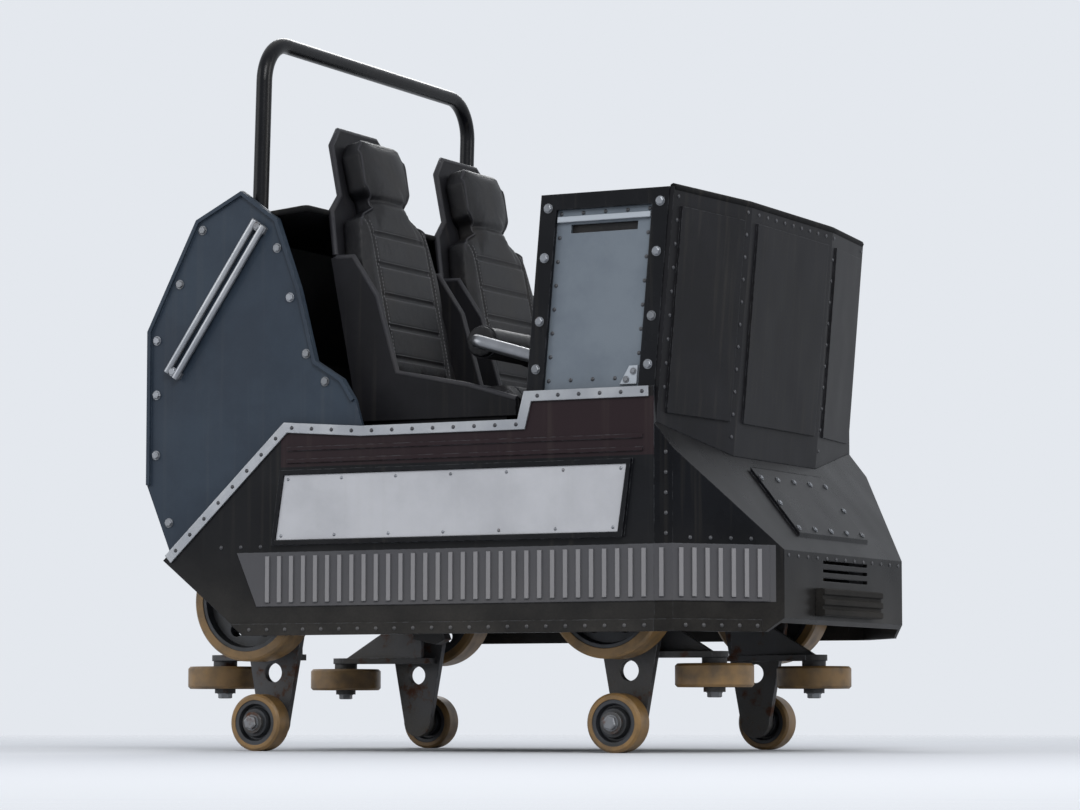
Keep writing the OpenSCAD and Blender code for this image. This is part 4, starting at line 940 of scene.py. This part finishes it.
class COASTER_OT_lap_cushions(DressPiece, bpy.types.Operator):
    """Blow up the foam rolls on the lap bars and sew their covers"""
    bl_idname = "coaster.lap_cushions"
    bl_label = "Lap cushions"

    def execute(self, context):
        low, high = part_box("lap_pad_l")
        centre, radius, half = (low + high) / 2, (high.z - low.z) / 2, (high.y - low.y) / 2
        ring = [(x, 0.005 - half, z) for x, z in circle(40, radius - 0.004)]
        roll = swollen(prism(ring, (0, 2 * half - 0.010, 0)), 0.005, 0.005)
        seams = (0.022 - half, half - 0.022)
        for vertex in roll.vertices:
            p = vertex.co
            pinch = sum(groove(p.y - y, 0.004, 0.003) for y in seams)
            out = Vector((p.x, 0, p.z))
            vertex.co -= out.normalized() * (pinch if out.length > 0.6 * radius else 0)
            vertex.co.y = max(-half, min(half, vertex.co.y))
        seam = radius - 0.0035
        piping = tube([([(x, y, z) for x, z in circle(60, seam)], True) for y in seams], 0.0025)
        # The cover's closing seam, low on the rear of the roll
        angle = math.radians(-150)
        x, z = math.cos(angle) * (seam + 0.003), math.sin(angle) * (seam + 0.003)
        threads = lines_mesh([([(x, y / 100 * (half - 0.03), z) for y in range(-100, 101, 4)], False)])
        for (tag, side), body in zip(SIDES, ("lap_bar_left", "lap_bar_right")):
            place = Matrix.Translation((centre.x, side * SEAT_Y, centre.z))
            sewn_pad("lap_cushion", tag, body, place, (roll, piping, threads), "lap_pad")
        return {"FINISHED"}


class COASTER_OT_body_rivets(DressPiece, bpy.types.Operator):
    """Set rows of dome rivets along the edges of the body panels"""
    bl_idname = "coaster.body_rivets"
    bl_label = "Body rivets"

    def execute(self, context):
        flat = (0, 1, 0)
        sheet = []
        for line, y, pitch in (
            (((-0.53, 0.315), (0.625, 0.315)), PANEL_Y + 0.006, 0.055),
            (((-0.755, 0.519), (-0.414, 0.838), (-0.19, 0.822), (0.27, 0.822)), PANEL_Y + 0.006, 0.06),
            (((0.31, 0.892), (0.62, 0.892)), PANEL_Y + 0.006, 0.06),
            (((0.672, 0.53), (0.672, 0.75)), PANEL_Y, 0.055),
            (((-0.62, 0.53), (-0.48, 0.53)), PANEL_Y, 0.05),
        ):
            sheet += [((p.x, y, p.z), flat) for p in along([(x, 0, z) for x, z in line], pitch, 0.01)]
        sheet += [((p.x, COWL_Y, p.z), flat) for p in around(cowl_corners(0.335, 0.581, 0.93, 1.35), 0.06)
                  if p.x < 0.53 or p.z > 0.98]
        rows = both_sides(sheet)
        # Up both edges of each face of the rear shell, and across it above and below each fold
        edge_y = 0.585
        for a, b in (((-0.7984, 0.63), (-0.8263, 0.732)), ((-0.834, 0.79), (-0.834, 1.07)),
                     ((-0.8242, 1.1198), (-0.7002, 1.3698))):
            edge = Vector((b[0] - a[0], 0, b[1] - a[1])).normalized()
            out = Vector((-edge.z, 0, edge.x))
            for y in (-edge_y, edge_y):
                rows += [(p, out) for p in along(((a[0], y, a[1]), (b[0], y, b[1])), 0.07)]
            for x, z in (a, b):
                rows += [(p, out) for p in along(((x, -edge_y, z), (x, edge_y, z)), 0.09)][1:-1]
        # On the nose: its skirt strip, its taper behind the band and the top of its blunt face
        taper = Vector((math.sin(TAPER), math.cos(TAPER), 0))
        nose = []
        for line, off, pitch in (
            (((0.71, 0.6136, 0.315), (0.835, 0.4611, 0.315)), 0.006, 0.05),
            (((0.72, 0.6014, 0.53), (0.862, 0.4282, 0.53)), 0.0, 0.055),
        ):
            nose += [((p.x + taper.x * off, p.y + taper.y * off, p.z), taper)
                     for p in along(line, pitch) if hood_height(p.x) > p.z + 0.02]
        rows += both_sides(nose)
        rows += [((0.885, y * 0.062, 0.492), (1, 0, 0)) for y in range(-6, 7)]
        # Along the shield's edges and folds, in the shield's own leaning frame
        out = LEAN @ Vector((0.354, 0.056, 0)).normalized()
        rows += both_sides([(SHIELD_FOOT + LEAN @ p, out)
                            for x, y, low in ((0.0155, 0.602, 0.0), (0.0654, 0.287, -0.1))
                            for p in along(((x, y, low), (x, y, 0.475)), 0.06)])
        rows += [(SHIELD_FOOT + LEAN @ Vector((0.068, y * 0.056, 0.475)), LEAN @ Vector((1, 0, 0)))
                 for y in range(-4, 5)]
        sizes = context.scene.coaster_sizes
        patterned("body_rivets", marks_mesh(rows), rivet_tree(),
                  {"Radius": sizes.rivet_radius, "Height": sizes.rivet_height}, "rivet", "root")
        return {"FINISHED"}


class COASTER_OT_board_screws(DressPiece, bpy.types.Operator):
    """Set small screws round the name boards"""
    bl_idname = "coaster.board_screws"
    bl_label = "Board screws"

    def execute(self, context):
        corners = [(-0.424, 0.557), (0.531, 0.557), (0.553, 0.703), (-0.403, 0.703)]
        rows = both_sides([((p.x, 0.646, p.z), (0, 1, 0)) for p in around(corners, 0.16)])
        patterned("board_screws", marks_mesh(rows), rivet_tree(), {"Radius": 0.0045, "Height": 0.002},
                  "zinc", "root")
        return {"FINISHED"}


class COASTER_OT_body_bolts(DressPiece, bpy.types.Operator):
    """Bolt the cowl posts, wing plates, braces and brake plates"""
    bl_idname = "coaster.body_bolts"
    bl_label = "Body bolts"

    def execute(self, context):
        flat = (0, 1, 0)
        posts = [leaned(x, z) for x in (0.3025, 0.6135) for z in (0.96, 1.08, 1.24, 1.365)]
        wings = [(-0.780, 0.60), (-0.822, 0.78), (-0.822, 0.94), (-0.822, 1.085), (-0.752, 1.232),
                 (-0.682, 1.372), (-0.452, 1.312), (-0.412, 1.18), (-0.362, 1.03), (-0.305, 0.955)]
        braces = ((-0.764, 0.999), (-0.506, 1.371))
        rows = [((x, WING_Y, z), flat) for x, z in posts + wings]
        rows += [((x, WING_Y + 0.013, z), flat) for x, z in braces]
        # The brake plates, the chain dog's pin and the hoop's feet
        rows += [((0.15, 0.156, 0.50), flat), ((-0.33, 0.156, 0.50), flat), ((-0.33, 0.033, 0.46), flat)]
        rows += [((-0.56 + dx, HOOP_Y + dy, 0.608), (0, 0, 1))
                 for dx in (-0.036, 0.036) for dy in (-0.021, 0.021)]
        # The hatch in the hood, and the cowl's corner brackets
        hood = Vector((SLOPE, 0, 1)).normalized()
        hatch = [(x, y) for x in (0.736, 0.7875, 0.839) for y in (-0.214, -0.107, 0.0, 0.107, 0.214)
                 if x != 0.7875 or abs(y) > 0.2]
        small = [(Vector((x, y, hood_height(x))) + hood * 0.008, hood) for x, y in hatch]
        small += both_sides([((x + 0.003, 0.621, z), flat) for x, z in ((0.553, 0.925), (0.573, 0.945))])
        set_bolts("hood_screws", small, given=(0.0065, 0.004, 0.0085))
        set_bolts("body_bolts", both_sides(rows))
        return {"FINISHED"}


class COASTER_OT_carrier_bolts(DressPiece, bpy.types.Operator):
    """Bolt the wheel carriers, and put a nut on each spindle"""
    bl_idname = "coaster.carrier_bolts"
    bl_label = "Carrier bolts and spindle nuts"

    def execute(self, context):
        flat = (0, 1, 0)
        plate = ((-0.072, 0.452), (0.072, 0.452), (-0.045, 0.27), (0.045, 0.27), (0.0, 0.13))
        clamp = [(dx, dz) for dx in (-0.036, 0.036) for dz in (-0.036, 0.036)]
        for end, x, way, body in AXLES:
            rows = [((x + dx, CARRIER_OUT, z), flat) for dx, z in plate]
            rows += [((x + dx, CLAMP_Y, RUN_Z + dz), flat) for dx, dz in clamp]
            # On the ends of the spindles of the running, up-stop and guide wheels
            nuts = [((x, 0.557, RUN_Z), flat), ((x, 0.512, STOP_Z), flat),
                    ((x + way * GUIDE_X, GUIDE_Y, 0.153), (0, 0, -1))]
            set_bolts(f"carrier_bolts_{body}", both_sides(rows), body)
            set_bolts(f"spindle_nuts_{body}", both_sides(nuts), body, (0.019, 0.012, 0.021))
        return {"FINISHED"}


class COASTER_OT_wheel_bolts(DressPiece, bpy.types.Operator):
    """Put a ring of bolts in the web of each running and guide wheel"""
    bl_idname = "coaster.wheel_bolts"
    bl_label = "Wheel bolts"

    def execute(self, context):
        ahead = Vector((1, 0, 0))
        corners = [(end + tag, x, side, way) for end, x, way, body in AXLES for tag, side in SIDES]
        for tag, x, side, way in corners:
            guide_x = x + way * GUIDE_X
            for wheel, centre, out, radius, count in (
                ("running_wheel", Vector((x, side * 0.5198, RUN_Z)), Vector((0, side, 0)), 0.060, 6),
                ("guide_wheel", Vector((guide_x, side * GUIDE_Y, 0.1818)), Vector((0, 0, -1)), 0.050, 5),
            ):
                other = ahead.cross(out)
                turns = [math.tau * (i + 0.5) / count for i in range(count)]
                rows = [(centre + radius * (ahead * math.cos(t) + other * math.sin(t)), out) for t in turns]
                set_bolts(f"{wheel}_bolts_{tag}", rows, f"{wheel}_{tag}", (0.008, 0.005, 0.0095))
        return {"FINISHED"}


class COASTER_OT_weld_beads(DressPiece, bpy.types.Operator):
    """Run weld beads round the axle ends, spindle collars and chassis joints"""
    bl_idname = "coaster.weld_beads"
    bl_label = "Weld beads"

    def execute(self, context):
        paths = {"root": [], "front_bogie": []}
        # Where the wheel carriers stand against the axles' ends, and round their spindles' collars
        half = 0.045
        for end, x, way, body in AXLES:
            for tag, side in SIDES:
                beam = ((x - half, 0.35), (x + half, 0.35), (x + half, 0.44), (x - half, 0.44))
                paths[body].append(([(u, side * CARRIER_IN, z) for u, z in beam], True))
                for z, radius, y in ((RUN_Z, 0.037, CLAMP_Y), (STOP_Z, 0.032, CARRIER_OUT)):
                    paths[body].append(([(x + u, side * y, z + w) for u, w in circle(24, radius)], True))
        root = paths["root"]
        for tag, side in SIDES:
            # Up the corners between the chassis frame's long rails and its cross members
            root += [([(x, side * y, z) for z in (0.531, 0.588)], False)
                     for y in (0.21, 0.29) for x in (-0.36, -0.30, 0.12, 0.18)]
            # Round the pedestals of the rear axle and the feet of the lap bars' ears and the hoop
            feet = ((-0.06, -0.04), (0.06, -0.04), (0.06, 0.04), (-0.06, 0.04))
            root.append(([(-0.59 + dx, side * (0.25 + dy), 0.44) for dx, dy in feet], True))
            root += [([(x, side * y, 0.6005) for x in (0.336, 0.476)], False)
                     for y in (0.060, 0.072, 0.508, 0.520)]
            root.append(([(-0.5597 + u, side * HOOP_Y + v, 0.609) for u, v in circle(24, 0.0225)], True))
        sizes = context.scene.coaster_sizes
        for body, lines in paths.items():
            patterned(f"weld_beads_{body}", lines_mesh(lines), bead_tree(),
                      {"Radius": sizes.bead_radius, "Pitch": sizes.bead_pitch}, "weld", body)
        return {"FINISHED"}


class COASTER_OT_tread_plate(DressPiece, bpy.types.Operator):
    """Lay tread plate in the footwell"""
    bl_idname = "coaster.tread_plate"
    bl_label = "Tread plate"

    def execute(self, context):
        low, high = Vector((0.18, -0.575, 0.598)), Vector((0.62, 0.575, 0.6005))
        corners = ((low.x, low.y), (high.x, low.y), (high.x, high.y), (low.x, high.y))
        plate = prism([(x, y, low.z) for x, y in corners], (0, 0, high.z - low.z))
        place_piece("tread_plate", plate, "root", "tread")
        pitch = 0.024
        rows = []
        for i in range(int((high.x - low.x) / pitch)):
            for j in range(int((high.y - low.y) / pitch)):
                tilt = 1 if (i + j) % 2 else -1
                x, y = low.x + pitch * (i + 0.6), low.y + pitch * (j + 0.5)
                # Clear of the lap bars' ears
                if not (0.32 < x < 0.49 and min(abs(abs(y) - 0.066), abs(abs(y) - 0.514)) < 0.02):
                    rows.append(((x, y, high.z), (1, tilt, 0)))
        patterned("tread_lugs", marks_mesh(rows), lug_tree(),
                  {"Length": context.scene.coaster_sizes.lug_length}, "tread", "root")
        return {"FINISHED"}


class COASTER_OT_edge_guards(DressPiece, bpy.types.Operator):
    """Push rubber guards over the shield's and the deck's edges, and grommets round the hoop"""
    bl_idname = "coaster.edge_guards"
    bl_label = "Edge guards"

    def execute(self, context):
        top = 0.496
        corners = ((0.006, -0.618), (0.062, -0.269), (0.062, 0.269), (0.006, 0.618))
        line = [SHIELD_FOOT + LEAN @ Vector((x, y, top)) for x, y in corners]
        front = [line[0].lerp(line[1], t / 8) for t in range(8)] + line[1:3]
        front += [line[2].lerp(line[3], t / 8) for t in range(1, 9)]
        # Round the hoop's legs, in the plane of the sloping deck
        deck = Matrix.Rotation(-math.atan2(0.030, 0.3185), 3, "Y")
        rings = []
        for tag, side in SIDES:
            leg = Vector((-0.539, side * HOOP_Y, 1.4045))
            rings.append(([leg + deck @ Vector((u, v, 0)) for u, v in circle(32, 0.0245)], True))
        # Along the deck's front edge between and beside the seat backs, and round its free corners
        edges = [([(-0.3715, y, 1.414) for y in (-0.076, 0.0, 0.076)], False)]
        corner = ((-0.3715, 0.505), (-0.3715, 0.599), (-0.3745, 0.608), (-0.3825, 0.6125), (-0.492, 0.6135))
        for tag, side in SIDES:
            edges.append(([(x, side * y, 1.414 + (x + 0.3715) * 0.0942) for x, y in corner], False))
        for name, paths, radius in (("shield_edge_guard", [(front, False)], 0.010),
                                    ("hoop_grommets", rings, 0.006), ("deck_edge_guard", edges, 0.009)):
            place_piece(name, tube(paths, radius), "root", "rubber", smooth=True)
        return {"FINISHED"}


class COASTER_OT_seat_beading(DressPiece, bpy.types.Operator):
    """Run a vinyl beading over the edges of the seat shells' bolsters and backs"""
    bl_idname = "coaster.seat_beading"
    bl_label = "Seat beading"

    def execute(self, context):
        # Up along a reclined back, and out from it
        lean = Vector((-math.sin(RECLINE), 0, math.cos(RECLINE)))
        tall = Vector((math.cos(RECLINE), 0, math.sin(RECLINE)))
        curve = ((0.12, 0.09), (0.10, 0.30), (0.05, 0.42), (0.0, 0.43))
        bolster = [Vector((0.2, 0, 0.9)), Vector((0.06, 0, 0.94))]
        bolster += [HINGE + tall * d + lean * s for d, s in curve]
        half = [(0.225, 0.438), (0.209, 0.56), (0.149, 0.61), (0.149, 0.75), (0.099, 0.799)]
        outline = half + [(-y, s) for y, s in reversed(half)]
        for tag, side in SIDES:
            middle = Vector((0, side * SEAT_Y, 0))
            paths = [([middle + point + Vector((0, y, -0.002)) for point in bolster], False)
                     for y in (-0.233, 0.233)]
            back = [middle + HINGE + lean * s - tall * 0.007 + Vector((0, y, 0)) for y, s in outline]
            paths.append((back, False))
            place_piece(f"seat_beading_{tag}", tube(paths, 0.0085), "root", "piping", smooth=True)
        return {"FINISHED"}


class COASTER_OT_cowl_slot_shades(DressPiece, bpy.types.Operator):
    """Put a black vinyl sheet inside each of the cowl's sides as painted shade, so that their slots read dark
    """
    bl_idname = "coaster.cowl_linings"
    bl_label = "Cowl linings"

    def execute(self, context):
        # Painted shade: a black sheet behind each slot, where the cowl's inside is in shade
        for tag, side in SIDES:
            corners = [(x, side * 0.6035, z) for x, z in cowl_corners(0.327, 0.589, 0.912, 1.355)]
            place_piece(f"cowl_slot_shade_{tag}", prism(corners, (0, -side * 0.004, 0)), "root", "vinyl")
        return {"FINISHED"}


class COASTER_OT_grip_strips(DressPiece, bpy.types.Operator):
    """Stick gritted strips on the entry steps behind the sills"""
    bl_idname = "coaster.grip_strips"
    bl_label = "Grip strips"

    def execute(self, context):
        length, width, thick, pitch = 0.096, 0.025, 0.0012, 0.107
        for tag, side in SIDES:
            strip = bpy.data.meshes.new("grip")
            form = bmesh.new()
            for y in (0.555, 0.5875):
                for k in range(4):
                    centre = (-0.168 + k * pitch + length / 2, side * (y + width / 2), 0.8354)
                    bmesh.ops.create_cube(form, size=1.0, matrix=Matrix.Translation(centre)
                                          @ Matrix.Diagonal((length, width, thick, 1)))
            form.to_mesh(strip)
            form.free()
            place_piece(f"grip_strips_{tag}", strip, "root", "grit")
        return {"FINISHED"}


class COASTER_OT_stage(DressPiece, bpy.types.Operator):
    """Build the pale floor, the soft lamps and the camera at floor level"""
    bl_idname = "coaster.stage"
    bl_label = "Stage"

    def execute(self, context):
        make_floor()
        make_world()
        for name, spot, width, power in (
            ("key_lamp", (3.5, -5.5, 5.0), 3.0, 330),
            ("fill_lamp", (-5.0, -4.0, 3.0), 4.0, 110),
            ("front_lamp", (6.5, 1.0, 3.5), 2.5, 120),
            ("rim_lamp", (-3.0, 5.5, 5.0), 3.0, 170),
        ):
            lamp = bpy.data.lights.new(name, "AREA")
            lamp.size, lamp.energy = width, power
            aimed(name, lamp, spot, Vector((0, 0, 0.9)))

        camera = bpy.data.cameras.new("camera")
        camera.lens = 120
        camera.sensor_width = 36
        camera.clip_end = 200
        azimuth = math.radians(27)
        distance, height = 9.7, 0.10
        spot = (distance * math.sin(azimuth), -distance * math.cos(azimuth), height)
        context.scene.camera = aimed("camera", camera, spot, Vector((0, 0, 0.93)))
        context.scene.view_settings.view_transform = "Standard"
        return {"FINISHED"}


OPERATORS = (
    COASTER_OT_stage,
    COASTER_OT_finishes,
    COASTER_OT_seat_cushions,
    COASTER_OT_back_cushions,
    COASTER_OT_lap_cushions,
    COASTER_OT_body_rivets,
    COASTER_OT_board_screws,
    COASTER_OT_body_bolts,
    COASTER_OT_carrier_bolts,
    COASTER_OT_wheel_bolts,
    COASTER_OT_weld_beads,
    COASTER_OT_tread_plate,
    COASTER_OT_edge_guards,
    COASTER_OT_seat_beading,
    COASTER_OT_cowl_slot_shades,
    COASTER_OT_grip_strips,
)


class COASTER_PT_panel(bpy.types.Panel):
    bl_idname = "COASTER_PT_panel"
    bl_label = "Coaster Car"
    bl_space_type = "VIEW_3D"
    bl_region_type = "UI"
    bl_category = "Coaster Car"

    def draw(self, context):
        for group in (context.scene.coaster_sizes, context.scene.coaster_colours):
            for key in group.__annotations__:
                self.layout.prop(group, key)
        for operator in OPERATORS:
            self.layout.operator(operator.bl_idname)


CLASSES = (CoasterSizes, CoasterColours, *OPERATORS, COASTER_PT_panel)


def register():
    for item in CLASSES:
        bpy.utils.register_class(item)
    bpy.types.Scene.coaster_sizes = bpy.props.PointerProperty(type=CoasterSizes)
    bpy.types.Scene.coaster_colours = bpy.props.PointerProperty(type=CoasterColours)


def unregister():
    del bpy.types.Scene.coaster_colours
    del bpy.types.Scene.coaster_sizes
    for item in reversed(CLASSES):
        bpy.utils.unregister_class(item)


def main():
    register()
    for operator in OPERATORS:
        getattr(bpy.ops.coaster, operator.bl_idname.split(".")[1])()


if __name__ == "__main__":
    main()
